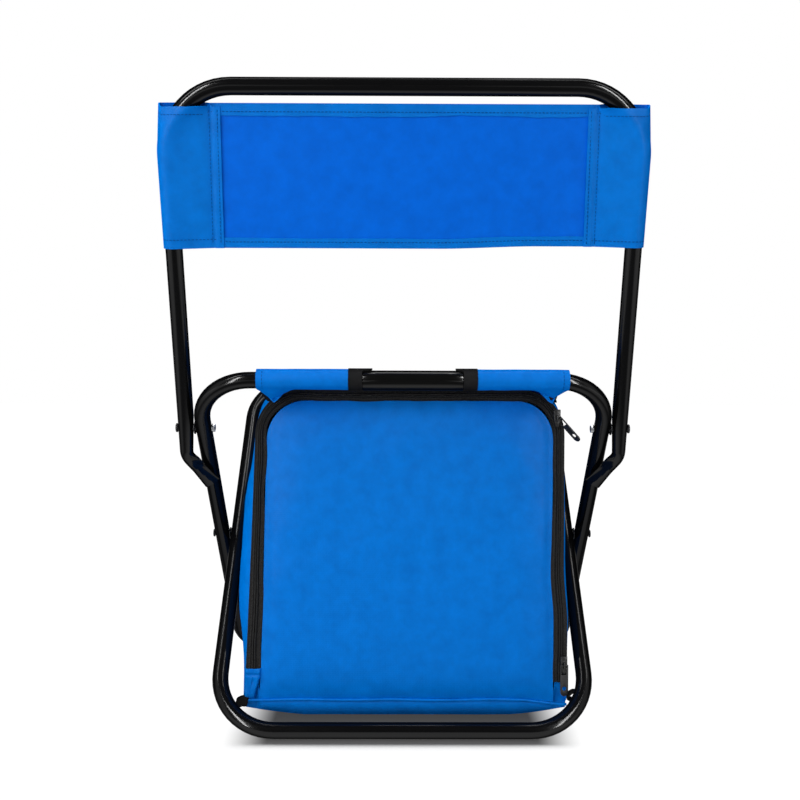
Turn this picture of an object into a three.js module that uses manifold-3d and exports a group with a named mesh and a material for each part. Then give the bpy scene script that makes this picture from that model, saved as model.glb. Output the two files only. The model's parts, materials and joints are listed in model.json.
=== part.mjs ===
import * as THREE from 'three';
import * as BufferGeometryUtils from 'three/addons/utils/BufferGeometryUtils.js';
import Module from 'manifold-3d';

// Folding cooler stool. Millimetres, +Z up, +X to the right as seen from behind, +Y the way the sitter faces.
// The origin is on the floor, under the middle of the whole stool.

// Steel tube and the two crossed seat frames
const tubeDiameter = 15;
const railSpread = 271;
const railRise = 316;
const outerFrameWidth = 373;
const outerBendRadius = 49;
const innerBendRadius = 55;

// Rivets of the crossed legs
const rivetDiameter = 5;
const rivetHeadDiameter = 8;
const rivetHeadHeight = 1.6;
const crossWasherThickness = 0.6;
const washerDiameter = 12;

// Backrest
const pivotBelowRail = 58.6;
const backLeanDegrees = 17.2;
const backHeight = 304.5;
const backBendRadius = 57;
const backWasherThickness = 0.8;
const boltDiameter = 5;
const boltHeadDiameter = 8.5;
const boltHeadHeight = 1.8;
const nutWidth = 8;
const nutHeight = 2.7;
const boltEnd = 0.4;

// Crushed saddle ends of the backrest tube
const saddleDrop = 22;
const saddleBendRadius = 18;
const saddleBendDegrees = 36;
const saddleLength = 26;
const saddleHalfWidth = 8.4;
const saddleHalfDepth = 4.5;
const saddleReach = 11;
const saddleShares = [0.34, 0.67, 1];

// Cloth, bindings and the backrest band
const clothThickness = 1.2;
const bandHeight = 120;
const bandBelowTop = 13.5;
const sleeveDepth = 52;
const pocketTuck = 4;
const stitchedEdge = 0.3;
const bandClearance = 0.33;
const bandHeightShares = [0, 0.3, 0.62, 0.7, 0.78, 0.86, 0.93, 1];
const panelThickness = 1.6;

// Seat
const seatOffset = 8.5;
const seatInset = 6;
const frontSleeveEnd = 3.3;
const sleeveSlack = 1.2;
const sleeveSag = 0.9;
const seatLow = 318.3;
const seatDip = 7.6;
const gripLength = 90.6;
const gripWall = 1.2;
const bindingWidth = 12.5;
const bindingExtra = 0.9;
const edgeBindingWidth = 9;
const handHoldDepth = 18;

// Cooler bag
const bagSideRoom = 40.5;
const bagBottom = 10;
const bagTop = 318;
const bagRear = -100;
const bagFront = 88;
const bagCornerRadius = 30;
const bagFootRadius = 8;
const foamThickness = 4;
const liningThickness = 0.6;
const seamHeight = 28;
const seamRadius = 1.5;
const zipTapeWidth = 5;
const zipGap = 0.4;
const zipTapeThickness = 1.2;
const coilHeight = 1.6;
const coilWidth = 1.6;
const zipEndHeight = 36;
const tabLength = 7;
const tabHeight = 22;
const tabThickness = 5;

// Zip sliders and pulls
const sliderWidth = 6.4;
const sliderLength = 16;
const sliderThickness = 3.2;
const lowerSliderBottom = 50.5;
const upperSliderBottom = 281;
const archWidth = 1.4;
const archWall = 1;
const archOpening = 2.4;
const archLength = 6.2;
const pullWidth = 7.4;
const pullLength = 28.5;
const pullThickness = 1.2;
const pullBar = 1;
const pullWindowLength = 8;
const pullHoleDiameter = 4;
const pullHoleFromEnd = 7;
const upperPullTurnDegrees = 42;

// Clearances, overruns and fineness
const gap = 0.3;
const overrun = 5;
const weld = 1e-4;
const tubeSides = 16;
const bendSteps = 6;
const roundSegments = 20;
const nutSides = 6;
const bandSides = 28;

// Sizes that follow from the ones above
const tubeRadius = tubeDiameter / 2;
const legLean = Math.atan(railSpread / railRise);
const frameLength = Math.hypot(railSpread, railRise);
const footHeight = tubeRadius * Math.cos(Math.PI / tubeSides);
const crossHeight = footHeight + railRise / 2;
const railHeight = footHeight + railRise;
const railReach = railSpread / 2;
const crossGap = crossWasherThickness + 2 * gap;
const innerFrameWidth = outerFrameWidth - 2 * (tubeDiameter + crossGap);
const backGap = backWasherThickness + 2 * gap;
const backWidth = outerFrameWidth + 2 * (tubeDiameter + backGap);
const backLean = THREE.MathUtils.degToRad(backLeanDegrees);
const pivotFromCross = frameLength / 2 - pivotBelowRail;
const pivotY = -pivotFromCross * Math.sin(legLean);
const pivotZ = crossHeight + pivotFromCross * Math.cos(legLean);
const innerLegFace = innerFrameWidth / 2 - tubeRadius;
const outerLegFace = outerFrameWidth / 2 + tubeRadius;
const bandTop = backHeight - bandBelowTop;
const bandBottom = bandTop - bandHeight;
const bagWidth = outerFrameWidth - 2 * bagSideRoom;
const seatWidth = bagWidth - 2 * seatInset;
const frontSleeveWidth = innerFrameWidth - 2 * (innerBendRadius + frontSleeveEnd);

const wasm = await Module();
wasm.setup();

const blackPaint = new THREE.MeshStandardMaterial({ color: 0x0d0d0d, roughness: 0.28, metalness: 0.0 });
const blackPlastic = new THREE.MeshStandardMaterial({ color: 0x141414, roughness: 0.25, metalness: 0.0 });
const blackWebbing = new THREE.MeshStandardMaterial({ color: 0x1c1c1c, roughness: 0.85, metalness: 0.0 });
const zincSteel = new THREE.MeshStandardMaterial({ color: 0xb8bcc0, roughness: 0.35, metalness: 1.0 });
const blueCloth = new THREE.MeshStandardMaterial({ color: 0x006ecf, roughness: 0.8, metalness: 0.0 });
const coatedCloth = new THREE.MeshStandardMaterial({ color: 0x0063d5, roughness: 0.6, metalness: 0.0 });
const whiteFoam = new THREE.MeshStandardMaterial({ color: 0xe8e8e4, roughness: 0.9, metalness: 0.0 });
const silverFoil = new THREE.MeshStandardMaterial({ color: 0xc9ccd0, roughness: 0.3, metalness: 0.9 });
const blackZinc = new THREE.MeshStandardMaterial({ color: 0x2a2a2c, roughness: 0.4, metalness: 0.6 });

const stool = new THREE.Group();

function add(name, geometry, material, parent = stool) {
  const mesh = new THREE.Mesh(geometry, material);
  mesh.name = name;
  parent.add(mesh);
  return mesh;
}

// Joining and cutting

function solid(geometry) {
  const bare = geometry.clone();
  bare.deleteAttribute('normal');
  bare.deleteAttribute('uv');
  const merged = BufferGeometryUtils.mergeVertices(bare, weld);
  return new wasm.Manifold(new wasm.Mesh({
    numProp: 3,
    vertProperties: new Float32Array(merged.attributes.position.array),
    triVerts: new Uint32Array(merged.index.array),
  }));
}

function geometryOf(manifold) {
  const mesh = manifold.getMesh();
  const geometry = new THREE.BufferGeometry();
  geometry.setAttribute('position', new THREE.BufferAttribute(mesh.vertProperties, 3));
  geometry.setIndex(new THREE.BufferAttribute(mesh.triVerts, 1));
  geometry.computeVertexNormals();
  return geometry;
}

function cut(geometry, ...tools) {
  return geometryOf(tools.reduce((left, tool) => left.subtract(solid(tool)), solid(geometry)));
}

function join(geometry, ...others) {
  return geometryOf(others.reduce((sum, other) => sum.add(solid(other)), solid(geometry)));
}

function common(geometry, other) {
  return geometryOf(solid(geometry).intersect(solid(other)));
}

// A closed skin over rings of points that follow one another.
// It has flat ends unless the rings close on themselves.
function skin(rings, closed) {
  const count = rings[0].length;
  const faces = [];
  const spans = closed ? rings.length : rings.length - 1;
  for (let i = 0; i < spans; i += 1) {
    const a = i * count;
    const b = ((i + 1) % rings.length) * count;
    for (let j = 0; j < count; j += 1) {
      const k = (j + 1) % count;
      faces.push(a + j, a + k, b + k, a + j, b + k, b + j);
    }
  }
  if (!closed) {
    const last = spans * count;
    for (let j = 1; j < count - 1; j += 1) {
      faces.push(0, j + 1, j, last, last + j, last + j + 1);
    }
  }
  const points = rings.flat();
  let volume = 0;
  for (let f = 0; f < faces.length; f += 3) {
    const [p, q, r] = [points[faces[f]], points[faces[f + 1]], points[faces[f + 2]]];
    volume += p.dot(q.clone().cross(r));
  }
  if (volume < 0) {
    faces.reverse();
  }
  const geometry = new THREE.BufferGeometry();
  geometry.setFromPoints(points);
  geometry.setIndex(faces);
  geometry.computeVertexNormals();
  return geometry;
}

// Stations of a bent tube in the XZ plane: an arc run clockwise from one angle down to another.
function bend(x, z, radius, fromDegrees, toDegrees) {
  const stations = [];
  for (let i = 0; i <= bendSteps; i += 1) {
    const angle = THREE.MathUtils.degToRad(fromDegrees + ((toDegrees - fromDegrees) * i) / bendSteps);
    stations.push({
      at: new THREE.Vector3(x + radius * Math.cos(angle), 0, z + radius * Math.sin(angle)),
      along: new THREE.Vector3(Math.sin(angle), 0, -Math.cos(angle)),
    });
  }
  return stations;
}

function tubeRing({ at, along, halfWidth = tubeRadius, halfDepth = tubeRadius, start = 0 }) {
  const across = new THREE.Vector3(0, 1, 0).cross(along);
  const ring = [];
  for (let i = 0; i < tubeSides; i += 1) {
    const turn = start + (2 * Math.PI * i) / tubeSides;
    const point = at.clone().addScaledVector(across, halfWidth * Math.cos(turn));
    point.y += halfDepth * Math.sin(turn);
    ring.push(point);
  }
  return ring;
}

// A closed loop whose tube lies on one of its flats once the loop is leant over.
function frameLoop(width, bendRadius, lean) {
  const start = lean - Math.PI / tubeSides;
  const x = width / 2 - bendRadius;
  const z = frameLength / 2 - bendRadius;
  const stations = [
    ...bend(-x, z, bendRadius, 180, 90),
    ...bend(x, z, bendRadius, 90, 0),
    ...bend(x, -z, bendRadius, 0, -90),
    ...bend(-x, -z, bendRadius, -90, -180),
  ];
  return skin(stations.map((station) => tubeRing({ ...station, start })), true);
}

// A round bar along X, centred on the given place.
function barAlongX(radius, length, x, y, z, sides = roundSegments) {
  const bar = new THREE.CylinderGeometry(radius, radius, length, sides);
  bar.rotateZ(Math.PI / 2);
  bar.translate(x, y, z);
  return bar;
}

function ringAlongX(innerRadius, outerRadius, length, x, y, z) {
  const shape = new THREE.Shape();
  shape.absarc(0, 0, outerRadius, 0, 2 * Math.PI);
  const hole = new THREE.Path();
  hole.absarc(0, 0, innerRadius, 0, 2 * Math.PI, true);
  shape.holes.push(hole);
  const ring = new THREE.ExtrudeGeometry(shape, {
    depth: length,
    bevelEnabled: false,
    curveSegments: roundSegments,
  });
  ring.rotateZ(-Math.PI / 2);
  ring.rotateY(Math.PI / 2);
  ring.rotateX(Math.PI / 2);
  ring.translate(x - length / 2, y, z);
  return ring;
}

// A flat shape drawn in X and Z, given its thickness from the rear to the front.
function slab(shape, rear, front) {
  const plate = new THREE.ExtrudeGeometry(shape, {
    depth: front - rear,
    bevelEnabled: false,
    curveSegments: bendSteps,
  });
  plate.rotateX(Math.PI / 2);
  plate.translate(0, front, 0);
  return plate;
}

function block(left, right, rear, front, bottom, top) {
  const box = new THREE.BoxGeometry(right - left, front - rear, top - bottom);
  box.translate((left + right) / 2, (rear + front) / 2, (bottom + top) / 2);
  return box;
}

// Seat frames: two closed loops of bent tube that cross at the rivets

const sides = [['left', -1], ['right', 1]];

function riveted(loop, width) {
  const holes = sides.map(([, side]) => barAlongX(
    rivetDiameter / 2 + gap, tubeDiameter + 2 * overrun, (side * width) / 2, 0, 0,
  ));
  return cut(loop, ...holes);
}

const outerFrame = new THREE.Group();
outerFrame.position.set(0, 0, crossHeight);
outerFrame.rotation.x = legLean;
stool.add(outerFrame);
const innerFrame = new THREE.Group();
innerFrame.position.set(0, 0, crossHeight);
innerFrame.rotation.x = -legLean;
stool.add(innerFrame);

const pivotHoles = sides.map(([, side]) => barAlongX(
  boltDiameter / 2 + gap, tubeDiameter + 2 * overrun, (side * outerFrameWidth) / 2, 0, pivotFromCross,
));
add(
  'outer_frame_tube',
  cut(riveted(frameLoop(outerFrameWidth, outerBendRadius, legLean), outerFrameWidth), ...pivotHoles),
  blackPaint,
  outerFrame,
);
add(
  'inner_frame_tube',
  riveted(frameLoop(innerFrameWidth, innerBendRadius, -legLean), innerFrameWidth),
  blackPaint,
  innerFrame,
);

for (const [hand, side] of sides) {
  const outerFace = outerLegFace + gap;
  const innerFace = innerLegFace - gap;
  const shank = outerFace - innerFace;
  const middle = (outerFace + innerFace) / 2;
  const headRadius = rivetHeadDiameter / 2;
  const head = barAlongX(headRadius, rivetHeadHeight, side * (outerFace + rivetHeadHeight / 2), 0, 0);
  const foot = barAlongX(headRadius, rivetHeadHeight, side * (innerFace - rivetHeadHeight / 2), 0, 0);
  const rivet = add(
    `cross_rivet_${hand}`,
    join(barAlongX(rivetDiameter / 2, shank + rivetHeadHeight, side * middle, 0, 0), head, foot),
    zincSteel,
  );
  rivet.position.z = crossHeight;
  const washer = add(
    `cross_washer_${hand}`,
    ringAlongX(
      rivetDiameter / 2 + gap,
      washerDiameter / 2,
      crossWasherThickness,
      side * (innerFrameWidth / 2 + tubeRadius + crossGap / 2),
      0,
      0,
    ),
    zincSteel,
  );
  washer.position.z = crossHeight;
}

// Backrest: a bent tube whose crushed lower ends lean on the outer frame's legs

const backrest = new THREE.Group();
backrest.position.set(0, pivotY, pivotZ);
backrest.rotation.x = backLean;
stool.add(backrest);

// The straight crushed end beyond the last bend, from the bend to the cut end.
function saddleStations(start, outward) {
  return saddleShares.map((share) => ({
    at: start
      .clone()
      .addScaledVector(outward, saddleLength * share)
      .add(new THREE.Vector3(0, saddleReach * share, 0)),
    halfWidth: THREE.MathUtils.lerp(tubeRadius, saddleHalfWidth, share),
    halfDepth: THREE.MathUtils.lerp(tubeRadius, saddleHalfDepth, share),
  }));
}

function backrestTube() {
  const halfWidth = backWidth / 2;
  const saddleX = halfWidth - saddleBendRadius;
  const topX = halfWidth - backBendRadius;
  const topZ = backHeight - backBendRadius;
  const leftHook = bend(-saddleX, -saddleDrop, saddleBendRadius, 180 + saddleBendDegrees, 180);
  const rightHook = bend(saddleX, -saddleDrop, saddleBendRadius, 0, -saddleBendDegrees);
  const leftEnd = saddleStations(leftHook[0].at, leftHook[0].along.clone().negate());
  const rightEnd = saddleStations(rightHook[bendSteps].at, rightHook[bendSteps].along);
  const stations = [
    ...leftEnd.reverse().map((station) => ({ ...station, along: leftHook[0].along })),
    ...leftHook,
    ...bend(-topX, topZ, backBendRadius, 180, 90),
    ...bend(topX, topZ, backBendRadius, 90, 0),
    ...rightHook,
    ...rightEnd.map((station) => ({ ...station, along: rightHook[bendSteps].along })),
  ];
  const tube = skin(stations.map((station) => tubeRing(station)), false);
  const tools = sides.flatMap(([, side]) => {
    const leg = new THREE.CylinderGeometry(tubeRadius + gap, tubeRadius + gap, backHeight / 2, 2 * tubeSides);
    leg.rotateX(Math.PI / 2);
    leg.translate(0, 0, -backHeight / 4);
    leg.rotateX(legLean - backLean);
    leg.translate((side * outerFrameWidth) / 2, 0, 0);
    const bolt = barAlongX(boltDiameter / 2 + gap, tubeDiameter + 2 * overrun, side * halfWidth, 0, 0);
    return [leg, bolt];
  });
  return cut(tube, ...tools);
}

add('backrest_tube', backrestTube(), blackPaint, backrest);

for (const [hand, side] of sides) {
  const armFace = backWidth / 2 + tubeRadius + gap;
  const legFace = outerFrameWidth / 2 - tubeRadius - gap;
  const shankEnd = legFace - nutHeight - boltEnd;
  const bolt = join(
    barAlongX(boltDiameter / 2, armFace - shankEnd, (side * (armFace + shankEnd)) / 2, 0, 0),
    barAlongX(boltHeadDiameter / 2, boltHeadHeight, side * (armFace + boltHeadHeight / 2), 0, 0),
  );
  add(`backrest_bolt_${hand}`, bolt, blackZinc, backrest);
  const nutX = side * (legFace - nutHeight / 2);
  const nutBody = barAlongX(nutWidth / 2, nutHeight, nutX, 0, 0, nutSides);
  const nutBore = barAlongX(boltDiameter / 2 + gap, nutHeight + 2 * overrun, nutX, 0, 0);
  add(`backrest_nut_${hand}`, cut(nutBody, nutBore), zincSteel, backrest);
  add(
    `backrest_washer_${hand}`,
    ringAlongX(
      boltDiameter / 2 + gap,
      washerDiameter / 2,
      backWasherThickness,
      side * (outerLegFace + backGap / 2),
      0,
      0,
    ),
    zincSteel,
    backrest,
  );
}

// Section of a band sleeve, grown by an offset.
// It is the hull of the tube, the pocket's folded edge and the stitched line.
function bandSection(height, offset, side) {
  const rise = Math.max(0, height - (backHeight - backBendRadius));
  const outer = Math.sqrt((backBendRadius + tubeRadius) ** 2 - rise ** 2);
  const inner = Math.sqrt((backBendRadius - tubeRadius) ** 2 - rise ** 2);
  const tubeX = backWidth / 2 - backBendRadius + (outer + inner) / 2;
  const tuck = pocketTuck * (rise / backBendRadius);
  const rounds = [
    { x: tubeX, a: (outer - inner) / 2 + offset, b: tubeRadius + offset },
    { x: backWidth / 2 + tubeRadius / 2 - tuck, a: tubeRadius / 2 + offset, b: tubeRadius / 2 + offset },
    { x: backWidth / 2 + tubeRadius - sleeveDepth, a: stitchedEdge + offset, b: stitchedEdge + offset },
  ];
  const ring = [];
  for (let i = 0; i < bandSides; i += 1) {
    const turn = (2 * Math.PI * i) / bandSides;
    const [c, s] = [Math.cos(turn), Math.sin(turn)];
    const supports = rounds.map(({ x, a, b }) => {
      const reach = Math.hypot(a * c, b * s);
      return { reach: x * c + reach, x: x + (a * a * c) / reach, y: (b * b * s) / reach };
    });
    const best = supports.reduce((one, other) => (other.reach > one.reach ? other : one));
    ring.push(new THREE.Vector3(side * best.x, best.y, height));
  }
  return ring;
}

function backrestBand() {
  const heights = bandHeightShares.map((share) => THREE.MathUtils.lerp(bandBottom, bandTop, share));
  const sleeves = sides.map(([, side]) => {
    const outside = skin(heights.map((height) => bandSection(height, bandClearance + clothThickness, side)), false);
    const rings = heights.map((height) => bandSection(height, bandClearance, side));
    const below = rings[0].map((point) => point.clone().setZ(point.z - overrun));
    const above = rings[rings.length - 1].map((point) => point.clone().setZ(point.z + overrun));
    return cut(outside, skin([below, ...rings, above], false));
  });
  const reach = backWidth / 2 + tubeRadius - sleeveDepth;
  const panel = block(-reach, reach, -panelThickness / 2, panelThickness / 2, bandBottom, bandTop);
  return join(panel, ...sleeves);
}

add('backrest_band', backrestBand(), coatedCloth, backrest);

// Seat cloth, its sleeves round the two rails, and the hand hold

const sleeveInner = tubeRadius + sleeveSlack;
const sleeveOuter = sleeveInner + clothThickness;
const seatLeft = seatOffset - seatWidth / 2;
const seatRight = seatOffset + seatWidth / 2;
const holdLeft = seatOffset - gripLength / 2;
const holdRight = seatOffset + gripLength / 2;

function railSleeve(left, right, y, wall) {
  return ringAlongX(
    sleeveInner, sleeveInner + wall, right - left, (left + right) / 2, y, railHeight - sleeveSag,
  );
}

add(
  'rear_sleeve_left',
  railSleeve(seatLeft, holdLeft - bindingWidth - gap, -railReach, clothThickness),
  blueCloth,
);
add(
  'rear_sleeve_right',
  railSleeve(holdRight + bindingWidth + gap, seatRight, -railReach, clothThickness),
  blueCloth,
);
const frontSleeveLeft = seatOffset - frontSleeveWidth / 2;
add(
  'front_sleeve',
  railSleeve(frontSleeveLeft, frontSleeveLeft + frontSleeveWidth, railReach, clothThickness),
  blueCloth,
);
const bindingWall = clothThickness + bindingExtra;
add(
  'grip_binding_left',
  railSleeve(holdLeft - bindingWidth, holdLeft, -railReach, bindingWall),
  blackWebbing,
);
add(
  'grip_binding_right',
  railSleeve(holdRight, holdRight + bindingWidth, -railReach, bindingWall),
  blackWebbing,
);
add(
  'hand_grip',
  ringAlongX(
    tubeRadius + gap, tubeRadius + gap + gripWall, gripLength - 2 * gap, seatOffset, -railReach, railHeight,
  ),
  blackPlastic,
);

const seatEdge = railReach - sleeveOuter - gap;

// The sagging seat panel's section in Y and Z, grown up and down by an offset, run along X.
function seatPanel(left, right, grow) {
  const steps = 2 * bendSteps;
  const shape = new THREE.Shape();
  const point = (i, lift) => {
    const y = THREE.MathUtils.lerp(-seatEdge, seatEdge, i / steps);
    return [y, seatLow + seatDip * (y / seatEdge) ** 2 + lift];
  };
  shape.moveTo(...point(0, -grow / 2));
  for (let i = 1; i <= steps; i += 1) {
    shape.lineTo(...point(i, -grow / 2));
  }
  for (let i = steps; i >= 0; i -= 1) {
    shape.lineTo(...point(i, clothThickness + grow));
  }
  const panel = new THREE.ExtrudeGeometry(shape, { depth: right - left, bevelEnabled: false });
  panel.rotateY(Math.PI / 2);
  panel.rotateX(Math.PI / 2);
  panel.translate(left, 0, 0);
  return panel;
}

const holdFront = -seatEdge + handHoldDepth;

// A block through the seat cloth at the hand hold, grown sideways and forwards, from the given rear face on.
function holdPlan(grow, rear = -seatEdge - overrun) {
  return block(
    holdLeft - grow, holdRight + grow, rear, holdFront + grow, seatLow - overrun, seatLow + seatDip + overrun,
  );
}

const clothLeft = seatLeft + edgeBindingWidth + gap;
const clothRight = seatRight - edgeBindingWidth - gap;
add('seat_cloth', cut(seatPanel(clothLeft, clothRight, 0), holdPlan(bindingWidth + gap)), blueCloth);
add(
  'hand_hold_binding',
  cut(
    common(seatPanel(clothLeft, clothRight, bindingExtra), holdPlan(bindingWidth, -seatEdge + bindingExtra)),
    holdPlan(0),
  ),
  blackWebbing,
);
add('seat_edge_left', seatPanel(seatLeft, seatLeft + edgeBindingWidth, bindingExtra), blackWebbing);
add('seat_edge_right', seatPanel(seatRight - edgeBindingWidth, seatRight, bindingExtra), blackWebbing);

// Cooler bag: skin, foam and foil, open at the rear where the door closes it

// Outline of the bag's section with its wall moved inwards by an inset.
function bagOutline(inset, bottom, footRadius) {
  const half = bagWidth / 2 - inset;
  const left = seatOffset - half;
  const right = seatOffset + half;
  const top = bagTop - inset;
  const round = bagCornerRadius - inset;
  const shape = new THREE.Shape();
  shape.moveTo(left + footRadius, bottom);
  shape.lineTo(right - footRadius, bottom);
  if (footRadius > 0) {
    shape.absarc(right - footRadius, bottom + footRadius, footRadius, -Math.PI / 2, 0);
  }
  shape.lineTo(right, top - round);
  shape.absarc(right - round, top - round, round, 0, Math.PI / 2);
  shape.lineTo(left + round, top);
  shape.absarc(left + round, top - round, round, Math.PI / 2, Math.PI);
  shape.lineTo(left, bottom + footRadius);
  if (footRadius > 0) {
    shape.absarc(left + footRadius, bottom + footRadius, footRadius, Math.PI, (3 * Math.PI) / 2);
  }
  return shape;
}

// An open-backed box of one layer of the bag's wall.
function bagLayer(inset, wall, rear) {
  const outside = bagOutline(inset, bagBottom + inset, bagFootRadius - inset / 2);
  const inside = bagOutline(inset + wall, bagBottom + inset + wall, bagFootRadius - (inset + wall) / 2);
  return cut(
    slab(outside, rear, bagFront - inset),
    slab(inside, rear - overrun, bagFront - inset - wall),
  );
}

const bagLeft = seatOffset - bagWidth / 2;
const bagRight = seatOffset + bagWidth / 2;
const foamInset = clothThickness + gap;
const liningInset = foamInset + foamThickness + gap;
const foamRear = bagRear + clothThickness + gap;
const lipTop = seamHeight - seamRadius - gap;
const skinLayer = cut(
  slab(bagOutline(0, bagBottom, bagFootRadius), bagRear, bagFront),
  slab(
    bagOutline(clothThickness, bagBottom + clothThickness, bagFootRadius - clothThickness),
    bagRear + clothThickness,
    bagFront - clothThickness,
  ),
  slab(bagOutline(clothThickness, lipTop, 0), bagRear - overrun, bagRear + overrun),
);
add('cooler_shell', skinLayer, blueCloth);
add('cooler_foam', bagLayer(foamInset, foamThickness, foamRear), whiteFoam);
add('cooler_lining', bagLayer(liningInset, liningThickness, foamRear), silverFoil);

// Door, zip and hinge seam on the bag's rear

const tapeFront = bagRear - gap;
const tapeRear = tapeFront - zipTapeThickness;
const tapeBottom = seamHeight + seamRadius + gap;
const coilRear = tapeRear - coilHeight;
const doorInset = 2 * zipTapeWidth + zipGap + gap;

function archBand(insetOuter, insetInner, rear, front, leftBottom) {
  const band = cut(
    slab(bagOutline(insetOuter, tapeBottom, 0), rear, front),
    slab(bagOutline(insetInner, tapeBottom - overrun, 0), rear - overrun, front + overrun),
  );
  const away = block(
    bagLeft - overrun, seatOffset, rear - overrun, front + overrun, tapeBottom - overrun, leftBottom,
  );
  return cut(band, away);
}

function zipHalf(insetOuter, insetInner, coilInset) {
  const leftBottom = tapeBottom + zipEndHeight + gap;
  return join(
    archBand(insetOuter, insetInner, tapeRear, tapeFront, leftBottom),
    archBand(coilInset, coilInset + coilWidth, coilRear, tapeFront - zipTapeThickness / 2, leftBottom),
  );
}

add('bag_zip_tape', zipHalf(0, zipTapeWidth, zipTapeWidth - coilWidth), blackWebbing);
const doorTapeOuter = zipTapeWidth + zipGap;
const doorTapeInner = doorTapeOuter + zipTapeWidth;
add('door_zip_tape', zipHalf(doorTapeOuter, doorTapeInner, doorTapeOuter), blackWebbing);
add(
  'zip_end_cover',
  block(bagLeft, bagLeft + zipTapeWidth, coilRear, tapeFront, tapeBottom, tapeBottom + zipEndHeight),
  blueCloth,
);
add(
  'door_zip_end_cover',
  block(
    bagLeft + doorTapeOuter,
    bagLeft + doorTapeInner,
    coilRear,
    tapeFront,
    tapeBottom,
    tapeBottom + zipEndHeight,
  ),
  blueCloth,
);
add('door_cloth', slab(bagOutline(doorInset, tapeBottom, 0), tapeRear, tapeFront), blueCloth);
const doorFoamRear = bagRear + 2 * gap;
const doorLayerInset = liningInset + liningThickness + 2 * gap;
add(
  'door_foam',
  slab(bagOutline(doorLayerInset, tapeBottom, 0), doorFoamRear, doorFoamRear + foamThickness),
  whiteFoam,
);
const doorLiningRear = doorFoamRear + foamThickness + gap;
add(
  'door_lining',
  slab(bagOutline(doorLayerInset, tapeBottom, 0), doorLiningRear, doorLiningRear + liningThickness),
  silverFoil,
);
const seamY = bagRear - seamRadius - gap;
add(
  'door_hinge_seam',
  barAlongX(seamRadius, bagWidth, seatOffset, seamY, seamHeight),
  blueCloth,
);

for (const [hand, side] of sides) {
  const inner = bagWidth / 2 + gap;
  const centre = seatOffset + side * (inner + tabLength / 2);
  add(
    `corner_tab_${hand}`,
    block(
      centre - tabLength / 2,
      centre + tabLength / 2,
      bagRear,
      bagRear + tabThickness,
      bagBottom,
      bagBottom + tabHeight,
    ),
    blackWebbing,
  );
}

// Zip sliders with their pulls, both on the zip's right run

const sliderX = bagRight - zipTapeWidth + sliderWidth / 2 + zipGap;
const sliderFront = coilRear - gap;
const sliderRear = sliderFront - sliderThickness;
const archRear = sliderRear - archOpening - archWall;
const hingeY = sliderRear - archOpening / 2;

function slider(bottom) {
  const left = sliderX - sliderWidth / 2;
  const archBottom = bottom + (sliderLength - archLength) / 2;
  const archTop = archBottom + archLength;
  const body = new THREE.Shape();
  body.moveTo(left + sliderWidth / 4, bottom);
  body.lineTo(left + (3 * sliderWidth) / 4, bottom);
  body.lineTo(left + sliderWidth, bottom + sliderLength / 2);
  body.lineTo(left + sliderWidth, bottom + sliderLength);
  body.lineTo(left, bottom + sliderLength);
  body.lineTo(left, bottom + sliderLength / 2);
  const arch = block(
    sliderX - archWidth / 2, sliderX + archWidth / 2, archRear, sliderRear + archWall, archBottom, archTop,
  );
  const window = block(
    sliderX - archWidth,
    sliderX + archWidth,
    sliderRear - archOpening,
    sliderRear,
    archBottom + archWall,
    archTop - archWall,
  );
  return join(slab(body, sliderRear, sliderFront), cut(arch, window));
}

function pull(turnDegrees, bottom) {
  const plate = new THREE.Shape();
  const half = pullWidth / 2;
  const top = pullThickness / 2;
  plate.moveTo(-half, top);
  plate.lineTo(-half, -pullLength + half);
  plate.absarc(0, -pullLength + half, half, Math.PI, 2 * Math.PI);
  plate.lineTo(half, top);
  const window = new THREE.Path();
  window.moveTo(-half + pullBar, -top);
  window.lineTo(half - pullBar, -top);
  window.lineTo(half - pullBar, -top - pullWindowLength);
  window.lineTo(-half + pullBar, -top - pullWindowLength);
  plate.holes.push(window);
  const hole = new THREE.Path();
  hole.absarc(0, -pullLength + pullHoleFromEnd, pullHoleDiameter / 2, 0, 2 * Math.PI, true);
  plate.holes.push(hole);
  const geometry = slab(plate, -pullThickness / 2, pullThickness / 2);
  geometry.rotateY(-THREE.MathUtils.degToRad(turnDegrees));
  geometry.translate(sliderX, hingeY, bottom + sliderLength / 2);
  return geometry;
}

add('lower_slider', slider(lowerSliderBottom), blackZinc);
add('lower_pull', pull(0, lowerSliderBottom), blackZinc);
add('upper_slider', slider(upperSliderBottom), blackZinc);
add('upper_pull', pull(upperPullTurnDegrees, upperSliderBottom), blackZinc);

// The middle of the whole stool, from its rearmost to its foremost point, goes to the origin.
const bounds = new THREE.Box3().setFromObject(stool, true);
stool.position.y = -(bounds.min.y + bounds.max.y) / 2;

export default stool;
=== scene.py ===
import json
import math

import bpy
from mathutils import Matrix, Vector, noise


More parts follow.
